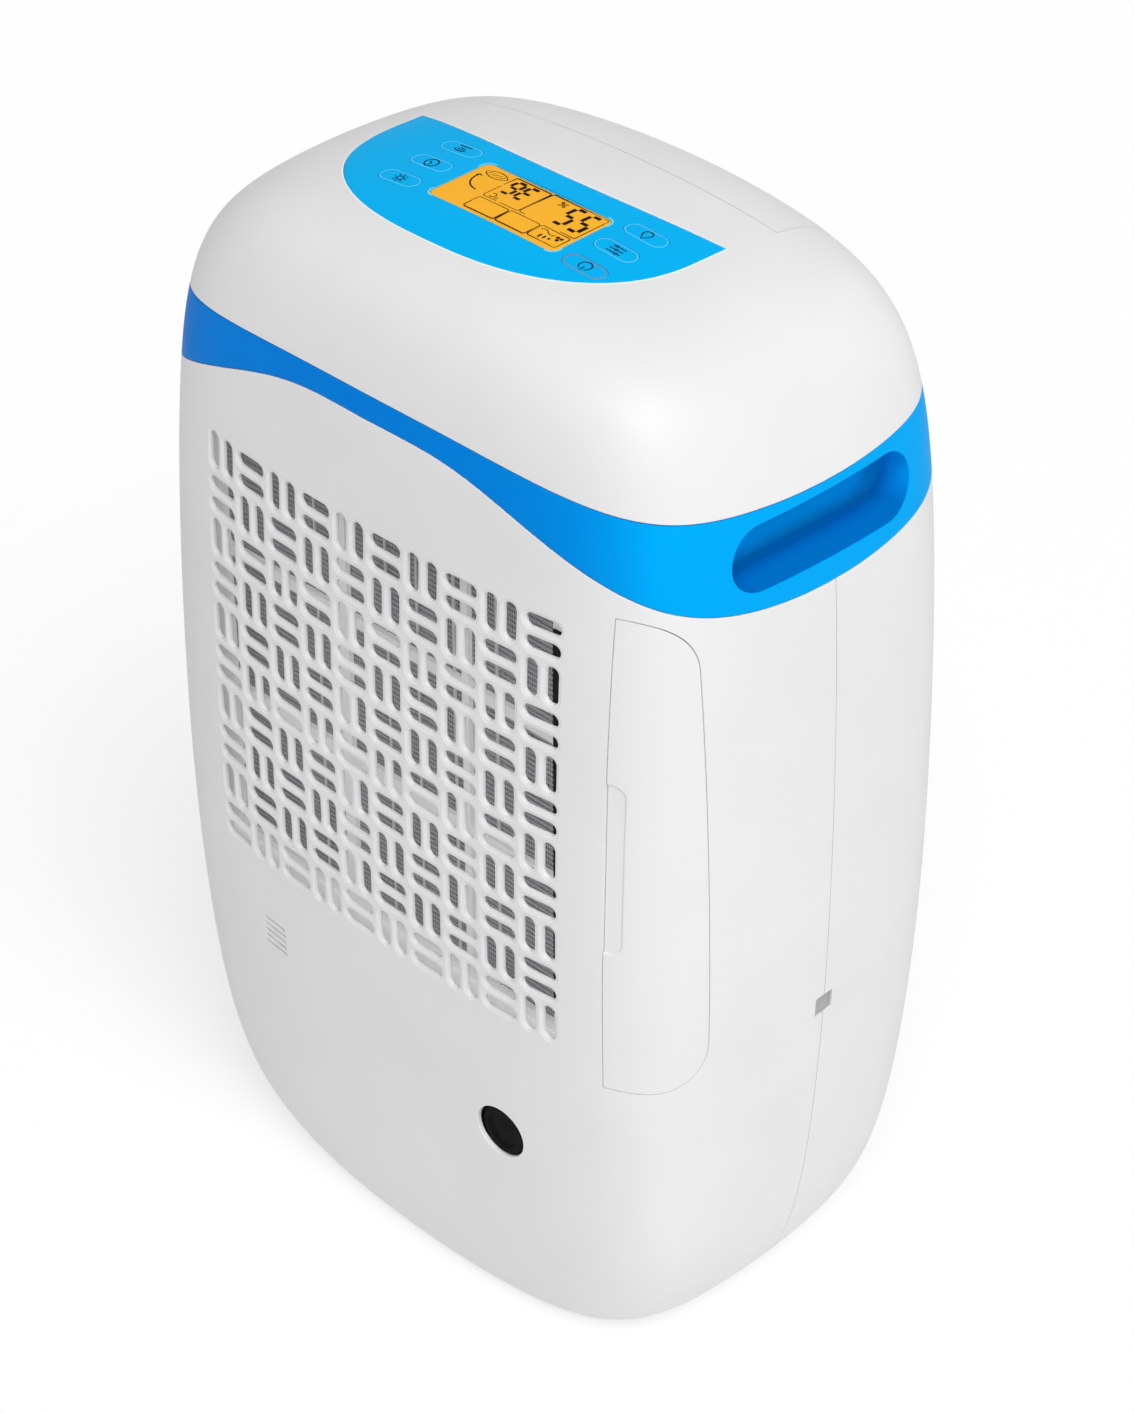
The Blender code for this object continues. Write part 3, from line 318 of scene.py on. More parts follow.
def bent(path, radius, steps=6):
    """Rounds the corners of a path."""
    points = [Vector(point) for point in path]
    smooth = [points[0]]
    for before, corner, after in zip(points, points[1:], points[2:]):
        reach = min(radius, (before - corner).length * 0.49, (after - corner).length * 0.49)
        start = corner + (before - corner).normalized() * reach
        end = corner + (after - corner).normalized() * reach
        for i in range(steps + 1):
            t = i / steps
            smooth.append((1 - t) ** 2 * start + 2 * t * (1 - t) * corner + t * t * end)
    return smooth + [points[-1]]


def fillet(radius, steps=5):
    """(growth, depth) pairs of an opening whose mouth is rounded over."""
    turn = np.linspace(0.0, 0.5 * np.pi, steps + 1)
    return [(radius * (1 - math.sin(t)), radius * (1 - math.cos(t))) for t in turn]


def skin_cutter(outline, axis, steps):
    """A cutter through the skin. outline(grow) gives flat points; steps are (grow, depth) pairs."""
    reach = {"X": skin_x, "Y": skin_y, "Z": skin_z}[axis]
    rings = []
    for grow, inset in steps:
        flat = outline(grow)
        rise = reach(flat[:, 0], flat[:, 1]) - inset
        if axis == "Z" and inset in (steps[0][1], steps[-1][1]):
            # the first ring is flat above the crown and the last is flat below it
            rise = WIDEST_Z + RISE - (30.0 if inset > 0.0 else -10.0)
        rings.append(np.insert(flat, "XYZ".index(axis), rise, axis=1))
    return lofted(rings)


def opening(outline, axis, radius, depth):
    """A cutter through the skin with a rounded mouth."""
    return skin_cutter(outline, axis, [(radius, -4.0)] + fillet(radius) + [(0.0, depth)])


def sheet(outline, thick, edge=0.0, sunk=0.0, rows=14):
    """A plate on the top of the cabinet that follows its skin. outline(grow) gives flat points."""
    rim = outline(-edge)
    middle = rim.mean(axis=0)
    rings = []
    for share in np.linspace(0.0, 1.0, rows + 1)[1:]:
        flat = middle + (rim - middle) * share
        rings.append(on_top(flat, sunk))
    turn = np.linspace(0.0, 0.5 * np.pi, 4)[1:] if edge else [0.0]
    for t in turn:
        grow = -edge * (1.0 - math.sin(t))
        rings.append(on_top(outline(grow), sunk + edge * (1.0 - math.cos(t))))
    for share in np.linspace(1.0, 0.0, rows + 1)[:-1]:
        flat = middle + (outline(0.0) - middle) * share
        rings.append(on_top(flat, sunk + thick))
    peak = skin_z(*middle) - sunk
    ends = [(*middle, float(peak)), (*middle, float(peak - thick))]
    return lofted(rings, ends)


def on_top(flat, sunk):
    """Flat points on the cabinet's top, sunk below its skin."""
    return np.insert(flat, 2, skin_z(flat[:, 0], flat[:, 1]) - sunk, axis=1)


# --- objects ---
def linked(name, data):
    """A new object in the scene that shows some data."""
    made = bpy.data.objects.new(name, data)
    bpy.context.scene.collection.objects.link(made)
    return made


def mesh_object(name, shape):
    points, faces = shape
    mesh = bpy.data.meshes.new(name)
    mesh.from_pydata((np.asarray(points) * MM).tolist(), [], faces)
    bm = bmesh.new()
    bm.from_mesh(mesh)
    bmesh.ops.recalc_face_normals(bm, faces=bm.faces)
    bm.to_mesh(mesh)
    bm.free()
    return linked(name, mesh)


def carve(target, shape, operation="DIFFERENCE"):
    """Applies a Boolean with a shape, or with a scratch object that is gone afterwards, at once."""
    tool = mesh_object("tool", shape) if isinstance(shape, tuple) else shape
    step = target.modifiers.new("carve", "BOOLEAN")
    step.operation = operation
    step.solver = "MANIFOLD"
    step.object = tool
    graph = bpy.context.evaluated_depsgraph_get()
    mesh = bpy.data.meshes.new_from_object(target.evaluated_get(graph))
    target.modifiers.clear()
    old = target.data
    target.data = mesh
    bpy.data.meshes.remove(old)
    bpy.data.objects.remove(tool)
    if not len(mesh.polygons):
        raise ValueError(target.name + " was cut away")


def dress(piece, look, body, stands_for=(), slot=None, skin=False):
    """Shades, paints and hangs a finished piece on its body."""
    mesh = piece.data
    mesh.shade_smooth()
    mesh.set_sharp_from_angle(angle=math.radians(32.0))
    mesh.materials.clear()
    mesh.materials.append(LOOKS[look])
    if skin:
        follow_skin(mesh)
    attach(piece, body)
    if stands_for:
        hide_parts(*stands_for)


def add(name, shape, *finish, **options):
    """Makes a piece from a shape and dresses it."""
    dress(mesh_object(name, shape), *finish, **options)


def read_all(items, name, width=1, kind=int):
    """One value or vector of each vertex, corner or face of a mesh."""
    values = np.empty(len(items) * width, kind)
    items.foreach_get(name, values)
    return values.reshape(-1, width) if width > 1 else values


def follow_skin(mesh):
    """Gives the corners on the cabinet's outer skin the form's own normals."""
    normals, distance = skin_normals(read_all(mesh.vertices, "co", 3, float) / MM)
    corner = read_all(mesh.loops, "vertex_index")
    totals = read_all(mesh.polygons, "loop_total")
    facing = np.repeat(read_all(mesh.polygons, "normal", 3, float), totals, axis=0)
    wanted = normals[corner]
    same = (facing * wanted).sum(axis=1) > 0.985
    near = np.abs(distance[corner]) < 0.06
    wanted[~(same & near)] = 0.0
    mesh.normals_split_custom_set(wanted.tolist())


# --- materials ---
def add_node(tree, kind, **values):
    made = tree.nodes.new(kind)
    for key, value in values.items():
        if key in made.inputs:
            made.inputs[key].default_value = value
        else:
            setattr(made, key, value)
    return made


def noise(tree, scale, detail=2.0, stretch=(1.0, 1.0, 1.0)):
    """Noise in object space; scale is in cells per metre."""
    place = add_node(tree, "ShaderNodeTexCoord")
    mapping = add_node(tree, "ShaderNodeMapping", Scale=stretch)
    tree.links.new(place.outputs["Object"], mapping.inputs["Vector"])
    made = add_node(tree, "ShaderNodeTexNoise", Scale=scale, Detail=detail)
    tree.links.new(mapping.outputs["Vector"], made.inputs["Vector"])
    return made.outputs["Fac"]


def spread(tree, value, low, high):
    """Maps a noise value, which stays mostly between 0.3 and 0.7, to a range."""
    limits = {"From Min": 0.3, "From Max": 0.7, "To Min": low, "To Max": high}
    made = add_node(tree, "ShaderNodeMapRange", **limits)
    tree.links.new(value, made.inputs["Value"])
    return made.outputs["Result"]


def mix(tree, share, first, second):
    """Blends two colours, each of them a plain colour or the output of a node."""
    made = add_node(tree, "ShaderNodeMix", data_type="RGBA")
    tree.links.new(share, made.inputs[0])
    for entry, color in ((made.inputs[6], first), (made.inputs[7], second)):
        if isinstance(color, tuple):
            entry.default_value = (*color, 1.0)
        else:
            tree.links.new(color, entry)
    return made.outputs[2]


def tinted(tree, value, color, change):
    """A colour that drifts a little with a value."""
    darker = tuple(c * (1.0 - change) for c in color)
    lighter = tuple(min(1.0, c * (1.0 + change)) for c in color)
    return mix(tree, spread(tree, value, 0.0, 1.0), darker, lighter)


def painted_light_by_facing(tree, base, turned, other):
    """Paints light and shade into a colour by the way a surface faces: blends a base colour into another
    where the surface turns toward a direction.
    """
    place = add_node(tree, "ShaderNodeTexCoord")
    toward = add_node(tree, "ShaderNodeVectorMath", operation="DOT_PRODUCT")
    toward.inputs[1].default_value = turned
    tree.links.new(place.outputs["Normal"], toward.inputs[0])
    return mix(tree, toward.outputs["Value"], base, other)


def painted_crease_shade(tree, base, reach, dark):
    """Paints shade into a colour: darkens it in hollows that are narrower than about reach millimetres."""
    open_sky = add_node(tree, "ShaderNodeAmbientOcclusion", samples=8, Distance=reach * MM)
    return mix(tree, open_sky.outputs["AO"], dark, base)


def recolor(made, change):
    """Puts change(tree, colour) between a material's colour and its shader."""
    tree = made.node_tree
    target = tree.nodes["Principled BSDF"].inputs["Base Color"]
    source = target.links[0].from_socket
    tree.links.new(change(tree, source), target)
    return made


def moulded(name, color, roughness=0.35, grain=1800.0, depth=0.012, drift=0.02, edge=0.5,
            metallic=0.0, stretch=(1.0, 1.0, 1.0), coat=0.0, transmission=0.0, glow=0.0,
            shine=0.3, sheen=(1.0, 1.0, 1.0)):
    """A surface with fine grain, slow drifts of tone and gloss, and softened edges.

    grain is in cells per metre; depth and edge are in millimetres; sheen tints the reflections.
    """
    made = bpy.data.materials.new(name)
    made.use_nodes = True
    tree = made.node_tree
    shader = tree.nodes["Principled BSDF"]
    plain = {"Specular IOR Level": shine, "Specular Tint": (*sheen, 1.0), "Metallic": metallic,
             "Coat Weight": coat, "Transmission Weight": transmission, "Emission Strength": glow}
    for key, value in plain.items():
        shader.inputs[key].default_value = value
    tree.links.new(tinted(tree, noise(tree, 14.0), color, drift), shader.inputs["Base Color"])
    gloss = spread(tree, noise(tree, 55.0, 3.0), roughness * 0.88, min(1.0, roughness * 1.12))
    tree.links.new(gloss, shader.inputs["Roughness"])
    bump = add_node(tree, "ShaderNodeBump", Strength=0.35, Distance=depth * MM)
    tree.links.new(noise(tree, grain, 2.0, stretch), bump.inputs["Height"])
    if edge:
        bevel = add_node(tree, "ShaderNodeBevel", samples=6, Radius=edge * MM)
        tree.links.new(bevel.outputs["Normal"], bump.inputs["Normal"])
    tree.links.new(bump.outputs["Normal"], shader.inputs["Normal"])
    if glow:
        tree.links.new(tinted(tree, noise(tree, 20.0), color, drift), shader.inputs["Emission Color"])
    return made


def printed(name, color, roughness=0.6, shine=0.08):
    """Ink or lacquer: hardly any grain, and hard edges."""
    return moulded(name, color, roughness, 3000.0, 0.004, edge=0.0, shine=shine)


LOOKS = {
    "white": moulded("white_plastic", (0.80, 0.80, 0.80), 0.45),
    # painted light: the cassette shines light of its own, so the filter frame and rail behind the grille
    # read light
    "cassette": moulded("cassette_plastic", (0.78, 0.78, 0.78), 0.5, edge=0.3, glow=0.26),
    "inner_white": moulded("inner_white_plastic", (0.74, 0.74, 0.73), 0.5, edge=0.0),
    # painted highlight: a light strip in the printed look that stands in for the light caught by the
    # cover's edge round the panel
    "bright": printed("painted_edge_highlight", (0.93, 0.95, 0.96), 0.4, 0.3),
    # painted light: the blue turns lighter and more cyan where the band faces -X, toward the key light
    "blue": recolor(moulded("blue_plastic", (0.0, 0.22, 0.76), 0.4, shine=0.015),
                    lambda tree, base: painted_light_by_facing(tree, base, (-1.4, 0.0, 0.0), (0.0, 0.39, 0.91))),
    # painted shade in the hand recess: darker on faces turned up, and darker still in its hollows by
    # ambient occlusion
    "recess": recolor(moulded("blue_recess", (0.0, 0.42, 0.98), 0.4, shine=0.015),
                      lambda tree, base: painted_crease_shade(
                          tree, painted_light_by_facing(tree, base, (0.0, 0.0, 1.3), (0.0, 0.17, 0.50)),
                          10.0, (0.0, 0.04, 0.14))),
    "clip": moulded("clip_grey", (0.40, 0.40, 0.40), 0.5, 1500.0, 0.05),
    # painted light: grey stays that also shine light of their own
    "stay": moulded("stay_grey", (0.62, 0.62, 0.62), 0.5, edge=0.0, glow=0.14),
    "panel": moulded("panel_film", (0.0, 0.45, 0.90), 0.35, 2600.0, 0.002, 0.01, 0.0,
                     shine=0.05, sheen=(0.0, 0.6, 1.0)),
    "amber": moulded("amber_display", (0.90, 0.43, 0.022), 0.3, 2600.0, 0.002, 0.01, 0.0,
                     glow=0.10, shine=0.15, sheen=(1.0, 0.7, 0.2)),
    "ink": printed("dark_ink", (0.010, 0.007, 0.003)),
    "navy": printed("navy_ink", (0.0, 0.02, 0.06)),
    "line": printed("light_blue_ink", (0.16, 0.68, 0.98), 0.5, 0.1),
    "orange": printed("orange_ink", (0.30, 0.20, 0.10), 0.5, 0.1),
    "black": moulded("black_plastic", (0.006, 0.006, 0.006), 0.7, 1500.0, 0.02, shine=0.08),
    "grey": moulded("grey_plastic", (0.30, 0.31, 0.33), 0.5, 1500.0, 0.03),
    "rubber": moulded("rubber_black", (0.02, 0.02, 0.02), 0.85, 900.0, 0.05),
    "enamel": moulded("black_enamel", (0.012, 0.012, 0.013), 0.28, 500.0, 0.05, metallic=0.1,
                      coat=0.5),
    "fins": moulded("coil_aluminium", (0.74, 0.75, 0.76), 0.42, 900.0, 0.02, 0.08, 0.0, 1.0,
                    (1.0, 1.0, 0.1), shine=0.5),
    "copper": moulded("copper_pipe", (0.72, 0.34, 0.17), 0.3, 700.0, 0.02, 0.15, 0.3, 1.0,
                      shine=0.5),
    "steel": moulded("plain_steel", (0.56, 0.56, 0.57), 0.3, 900.0, 0.02, 0.06, 0.4, 1.0,
                     (0.1, 1.0, 1.0), shine=0.5),
    "clear": moulded("tank_clear", (0.78, 0.86, 0.92), 0.16, 1200.0, 0.01, 0.02, 0.4,
                     transmission=0.7, shine=0.5),
    "board": moulded("circuit_board", (0.01, 0.14, 0.05), 0.45, 400.0, 0.15, 0.4),
    # painted light: the net shines a little light of its own
    "net": moulded("filter_net", (0.60, 0.60, 0.61), 0.6, 3000.0, 0.02, 0.05, 0.0, glow=0.03),
}


# --- the shells ---
def rounded_edge(start, way, outer=0.0):
    """Rings that round a shell's outer edge; they leave the skin at start and go up or down."""
    turn = np.linspace(0.0, 0.5 * np.pi, 5)[1:]
    return [skin_ring(start + way * EDGE * math.sin(t), outer + EDGE - EDGE * math.cos(t)) for t in turn]


def wall_shape(low, high, levels, spacing=1.0, outer=0.0, inner=WALL):
    """A closed wall between two edge heights, with rounded outer edges."""
    base = low + EDGE
    tall = high - low - 2.0 * EDGE
    rings = rounded_edge(base, -1.0, outer)[::-1]
    for k in range(levels + 1):
        rings.append(skin_ring(base + tall * (k / levels) ** spacing, outer))
    rings += rounded_edge(high - EDGE, 1.0, outer)
    rings.append(skin_ring(high, inner))
    half = levels // 2
    for k in range(1, half)[::-1]:
        rings.append(skin_ring(base + tall * (k / half) ** spacing, inner))
    rings.append(skin_ring(low, inner))
    return lofted(rings, "wrap")


def lower_wall(outer=0.0, inner=WALL):
    """The wall from the bottom to the band, between two depths below the skin."""
    high = wave(BAND_BOTTOM) - 0.5 * GAP
    return wall_shape(SHELL_BOTTOM, high, 48, 1.25, outer, inner)


def dome_shape():
    """The white top: a bowl from the band's upper edge to the crown."""
    edge = wave(BAND_TOP) + 0.5 * GAP
    top = WIDEST_Z + RISE
    levels = 44
    outside = rounded_edge(edge + EDGE, -1.0)[::-1]
    inside = [skin_ring(edge, WALL)]
    for k in range(levels):
        fall = (1.0 - k / levels) ** 2.2
        outside.append(skin_ring(top - (top - edge - EDGE) * fall, 0.0))
        if k:
            inside.append(skin_ring(top - WALL - (top - WALL - edge) * fall, WALL))
    ends = [(0.0, 0.0, top - WALL), (0.0, 0.0, top)]
    return lofted(inside[::-1] + outside, ends)


def core_shape(inset, low, high, levels=24):
    """A solid that fills the skin between two heights."""
    return lofted([skin_ring(low + (high - low) * k / levels, inset) for k in range(levels + 1)])


def slot_outline(x, z, across, tall, steps=6):
    """outline(grow) of a slot with round ends, in X and Z."""
    def outline(grow):
        half = np.array((0.5 * across + grow, 0.5 * tall + grow))
        return rounded((x - half[0], z - half[1]), (x + half[0], z + half[1]),
                       float(half.min()) - 0.01, steps)
    return outline


def grille_openings():
    """Pairs of slots, upright and level by turns, like woven strips."""
    shapes = []
    middle = 0.5 * (GRILLE_CELLS - 1)
    for column in range(GRILLE_CELLS):
        for row in range(GRILLE_CELLS):
            x = GRILLE_X + (middle - column) * GRILLE_PITCH
            z = GRILLE_Z + (middle - row) * GRILLE_PITCH
            upright = (column + row) % 2 == 0
            across, tall = (SLOT_WIDTH, SLOT_LENGTH) if upright else (SLOT_LENGTH, SLOT_WIDTH)
            for side in (-SLOT_SPREAD, SLOT_SPREAD):
                place = (x + side, z) if upright else (x, z + side)
                outline = slot_outline(*place, across, tall)
                shapes.append(skin_cutter(outline, "Y", SLOT_RIM))
    return joined(shapes)


DOOR_REAR_X = -147.0
DOOR_FRONT_Y = 74.5
DOOR_LEAN = 6.0
DOOR_LOW_Z = 194.0
DOOR_HIGH_Z = 463.0
DOOR_CORNER = 27.0
NOTCH_LOW_Z = 278.0
NOTCH_HIGH_Z = 374.0
NOTCH_DEPTH = 8.5
LEDGE = 2.5              # how far the rim behind the door reaches inward

VENT_PLACE = (82.0, 163.5)
VENT_SLOTS = 5
VENT_PITCH = 4.0
VENT_SLOT_SIZE = (17.5, 1.7)
DRAIN_PLACE = (-84.0, 131.5)
DRAIN_RADIUS = 15.0
RAIL_LOW = (-128.0, 92.5, 180.0)
RAIL_HIGH = (140.0, 125.0, 196.4)


def door_outline(grow):
    """The filter door's side view in Y and Z: open to the rear, with a leaning front edge."""
    front = DOOR_FRONT_Y - grow
    low, high = DOOR_LOW_Z - grow, DOOR_HIGH_Z + grow
    corner = DOOR_CORNER + grow
    ends = np.array([(140.0, low), (140.0, high)])
    upper = arc((front + corner, high - corner), corner, 90, 180, 16)
    lower = arc((front + corner, low + corner), corner, 180, 270, 16)
    outline = np.concatenate([ends, upper, lower])
    outline[:, 0] += DOOR_LEAN * (outline[:, 1] - 0.5 * (low + high)) / (high - low)
    return outline


def clip_window(side):
    """A square hole across the seam for its clip."""
    outline = rounded((SEAM_Y - CLIP_HALF, CLIP_Z - CLIP_HALF),
                      (SEAM_Y + CLIP_HALF, CLIP_Z + CLIP_HALF), 0.8, 3)
    return prism(outline, "X", side * 188.0 - 12.0, side * 188.0 + 12.0)


def make_rear():
    rear = mesh_object("rear_shell", lower_wall())
    carve(rear, block((-220, SEAM_Y + 0.5 * GAP, -20), (220, 160, 560)), "INTERSECT")
    carve(rear, prism(door_outline(0.0), "X", -230.0, DOOR_REAR_X))
    carve(rear, grille_openings())
    vents = []
    for k in range(VENT_SLOTS):
        z = VENT_PLACE[1] + VENT_PITCH * (k - VENT_SLOTS // 2)
        vents.append(opening(slot_outline(VENT_PLACE[0], z, *VENT_SLOT_SIZE, 3), "Y", 0.7, 1.2))
    carve(rear, joined(vents))
    carve(rear, opening(lambda grow: circle(DRAIN_PLACE, DRAIN_RADIUS + grow, 64), "Y", 0.7, 8.0))
    for side in (-1, 1):
        carve(rear, clip_window(side))

    ledge = mesh_object("ledge", lower_wall(WALL - 0.2, WALL + 1.4))
    carve(ledge, prism(door_outline(3.0), "X", -230.0, DOOR_REAR_X + 3.0), "INTERSECT")
    carve(ledge, prism(door_outline(-LEDGE), "X", -235.0, DOOR_REAR_X - LEDGE))
    carve(rear, ledge, "UNION")
    dress(rear, "white", "cabinet", ("rear_housing",), "white_plastic", skin=True)
    # the rail takes the cassette look, which shines light of its own: painted light on its top behind the
    # grille
    rail = mesh_object("filter_rail", rounded_block(RAIL_LOW, RAIL_HIGH, "X", 1.0))
    carve(rail, core_shape(WALL + 0.05, 150.0, 230.0), "INTERSECT")
    dress(rail, "cassette", "cabinet")


def make_front():
    front = mesh_object("front_shell", lower_wall())
    carve(front, block((-220, -160, -20), (220, SEAM_Y - 0.5 * GAP, 560)), "INTERSECT")
    carve(front, prism(tank_outline(0.0), "Y", -150.0, -60.0))
    for side in (-1, 1):
        carve(front, clip_window(side))
    low, high = size_of("power_inlet")
    low, high = low[1:] - GAP, high[1:] + GAP
    carve(front, opening(lambda g: rounded(low - g, high + g, 3.0 + g), "X", 0.6, 30.0))
    dress(front, "white", "cabinet", ("front_housing",), "white_plastic", skin=True)


def make_band():
    band = mesh_object("blue_band", wall_shape(wave(BAND_BOTTOM) + 0.5 * GAP,
                                               wave(BAND_TOP) - 0.5 * GAP, 10))
    for side in (-1, 1):
        cup = [placed(handle_outline(POCKET_WALL), "X", side * x)
               for x in (HANDLE_INNER_X - POCKET_WALL, 185.0)]
        cup = mesh_object("cup", lofted(cup))
        carve(cup, core_shape(1.2, 420.0, 520.0), "INTERSECT")
        carve(band, cup, "UNION")
        carve(band, pocket_shape(side))
    dress(band, "blue", "cabinet", ("trim_band",), "blue_plastic", skin=True)
    # the faces inside the hand recess take the look with painted shade
    band.data.materials.append(LOOKS["recess"])
    for face in band.data.polygons:
        x, y, z = face.center / MM
        if HANDLE_INNER_X - 0.5 < abs(x) < float(skin_x(y, z)) - RECESS_DEPTH:
            face.material_index = 1


def handle_outline(grow):
    """The hand recess in Y and Z: round ends, and a lower edge that rises toward the rear."""
    half, tall = 0.5 * HANDLE_LENGTH + grow, 0.5 * HANDLE_HEIGHT + grow
    outline = rounded((HANDLE_Y - half, HANDLE_Z - tall), (HANDLE_Y + half, HANDLE_Z + tall),
                      tall - 0.1, 16, 12)
    rise = HANDLE_TAPER * (0.5 + (outline[:, 0] - HANDLE_Y) / HANDLE_LENGTH)
    outline[:, 1] += rise * np.maximum(0.0, HANDLE_Z - outline[:, 1]) / tall
    return outline


def pocket_shape(side):
    """The hand recess: a rounded mouth on the skin and a soft inner end."""
    rings = []
    for grow, inset in [(0.6, -6.0)] + fillet(0.6, 4):
        flat = handle_outline(grow)
        rings.append(np.insert(flat, 0, side * (skin_x(flat[:, 0], flat[:, 1]) - inset), axis=1))
    soft = 5.0
    for t in np.linspace(0.0, 0.5 * np.pi, 10):
        flat = handle_outline(-soft * (1.0 - math.cos(t)))
        rings.append(placed(flat, "X", side * (HANDLE_INNER_X + soft * (1.0 - math.sin(t)))))
    return lofted(rings)


PANEL_X = 10.0
PANEL_HALF_WIDTH = 101.0
PANEL_CORNER_Y = -24.3
PANEL_BOW = 8.5
PANEL_WIDEST_Y = -8.0
PANEL_REACH = 76.7
PANEL_POWER = 2.4
SCREEN_X = -1.3
SCREEN_Y = 18.9
FLAP_AXIS = (-74.0, 560.0)
FLAP_RADIUS = 36.0
FLAP_REAR_Y = -55.5
FLAP_LEFT_X = -93.0
FLAP_RIGHT_X = 108.5
LIP_STEPS = ((-54.7, 0.3), (-54.1, 0.8), (-48.0, 1.2))    # the cover thins toward the flap: (y, thickness)


def panel_outline(grow):
    """The control panel in X and Y: slightly bowed in front, bulging to the rear."""
    half, reach = PANEL_HALF_WIDTH + grow, PANEL_REACH + grow
    share = np.linspace(-1.0, 1.0, 40)
    front = PANEL_CORNER_Y - grow + PANEL_BOW * (1.0 - share ** 2)
    turn = np.linspace(0.0, np.pi, 81)
    x = half * np.sign(np.cos(turn)) * np.abs(np.cos(turn)) ** (2.0 / PANEL_POWER)
    y = reach * np.abs(np.sin(turn)) ** (2.0 / PANEL_POWER)
    edge = np.stack([PANEL_X + half * share, front], axis=1)
    return np.concatenate([edge, np.stack([PANEL_X + x, PANEL_WIDEST_Y + y], axis=1)])


def flap_outline(grow, rear_y):
    """The flap's side view in Y and Z: inside a circle about its axis, ahead of rear_y."""
    radius = FLAP_RADIUS + grow
    start = math.degrees(math.acos((rear_y - FLAP_AXIS[0]) / radius))
    ends = np.array([(rear_y, 600.0), (FLAP_AXIS[0] - 12.0, 600.0)])
    return np.concatenate([ends, arc(FLAP_AXIS, radius, 105.0, 360.0 - start, 48)])


def make_top():
    cover = mesh_object("top_shell", dome_shape())
    carve(cover, opening(panel_outline, "Z", 0.7, 12.0))
    carve(cover, prism(flap_outline(0.3, FLAP_REAR_Y + 0.3), "X", FLAP_LEFT_X - 0.3, FLAP_RIGHT_X + 0.3))
    for rear_y, thick in LIP_STEPS:
        relief = mesh_object("relief", block((FLAP_LEFT_X - 2.0, -60.0, 540.0),
                                             (FLAP_RIGHT_X + 2.0, rear_y, 600.0)))
        carve(relief, core_shape(thick, 530.0, WIDEST_Z + RISE - thick - 0.05, 40), "INTERSECT")
        carve(cover, relief)
    dress(cover, "white", "cabinet", ("top_cover",), "white_plastic", skin=True)

    flap = mesh_object("outlet_louvre", dome_shape())
    carve(flap, prism(flap_outline(0.0, FLAP_REAR_Y), "X", FLAP_LEFT_X, FLAP_RIGHT_X), "INTERSECT")
    dress(flap, "white", "flap", ("outlet_flap",), "white_plastic", skin=True)


# --- control panel ---
KEY_X = 60.8
KEY_Y = (-3.2, 16.2, 36.3)
KEY_WIDTH = 25.0
KEY_DEPTH = 11.0
KEYS = (("key_swing", KEY_X, 0), ("key_timer", KEY_X, 1), ("key_dim", KEY_X, 2),
        ("key_humidity", -KEY_X, 0), ("key_mode", -KEY_X, 1), ("key_power", -KEY_X, 2))


def key_outline(x, y):
    """outline(grow) of a key, in X and Y."""
    def outline(grow):
        half = np.array((0.5 * KEY_WIDTH + grow, 0.5 * KEY_DEPTH + grow))
        return rounded((x - half[0], y - half[1]), (x + half[0], y + half[1]), half[1] - 0.05, 8)
    return outline


def screen_outline(grow):
    half = np.array((41.5 + grow, 20.0 + grow))
    middle = np.array((SCREEN_X, SCREEN_Y))
    return rounded(middle - half, middle + half, 4.0 + grow, 6)


def stroke(path, width, top=0.04, bottom=0.3):
    """A printed line on the panel: a thin raised strip along flat points."""
    path = np.array(path, float)
    if len(path) < 8:
        fine = [path[:1]]
        for a, b in zip(path, path[1:]):
            fine.append(np.linspace(a, b, 3)[1:])
        path = np.concatenate(fine)
    closed = np.allclose(path[0], path[-1])
    if closed:
        along = np.roll(path[:-1], -1, axis=0) - np.roll(path[:-1], 1, axis=0)
        along = np.concatenate([along, along[:1]])
    else:
        along = np.gradient(path, axis=0)
    along /= np.linalg.norm(along, axis=1)[:, None]
    side = 0.5 * width * np.stack([-along[:, 1], along[:, 0]], axis=1)
    left, right = path + side, path - side
    edges = (on_top(left, top), on_top(right, top), on_top(right, bottom), on_top(left, bottom))
    rings = list(np.stack(edges, axis=1))
    if closed:
        rings.pop()
    return lofted(rings, "wrap" if closed else "cap")


def dot(x, y, radius):
    flat = circle((x, y), radius, 16)
    return lofted([on_top(flat, 0.3), on_top(flat, 0.1)])


def closed_path(points):
    return np.concatenate([points, points[:1]])


SEGMENTS = {"a": ((0, 2), (1, 2)), "b": ((1, 2), (1, 1)), "c": ((1, 1), (1, 0)), "d": ((0, 0), (1, 0)),
            "e": ((0, 0), (0, 1)), "f": ((0, 1), (0, 2)), "g": ((0, 1), (1, 1))}
DIGITS = {"5": "afgcd", "3": "abgcd", "6": "afgecd"}


def digit(value, x, y, width, height, weight):
    """A seven-segment numeral, with its lower left corner at x, y."""
    shapes = []
    for name in DIGITS[value]:
        ends = np.array(SEGMENTS[name], float) * (width, 0.5 * height)
        ends[:, 0] += 0.04 * ends[:, 1]
        along = (ends[1] - ends[0]) / np.linalg.norm(ends[1] - ends[0])
        gap = 0.55 * weight
        shapes.append(stroke(ends + (x, y) + np.outer((gap, -gap), along), weight))
    return shapes


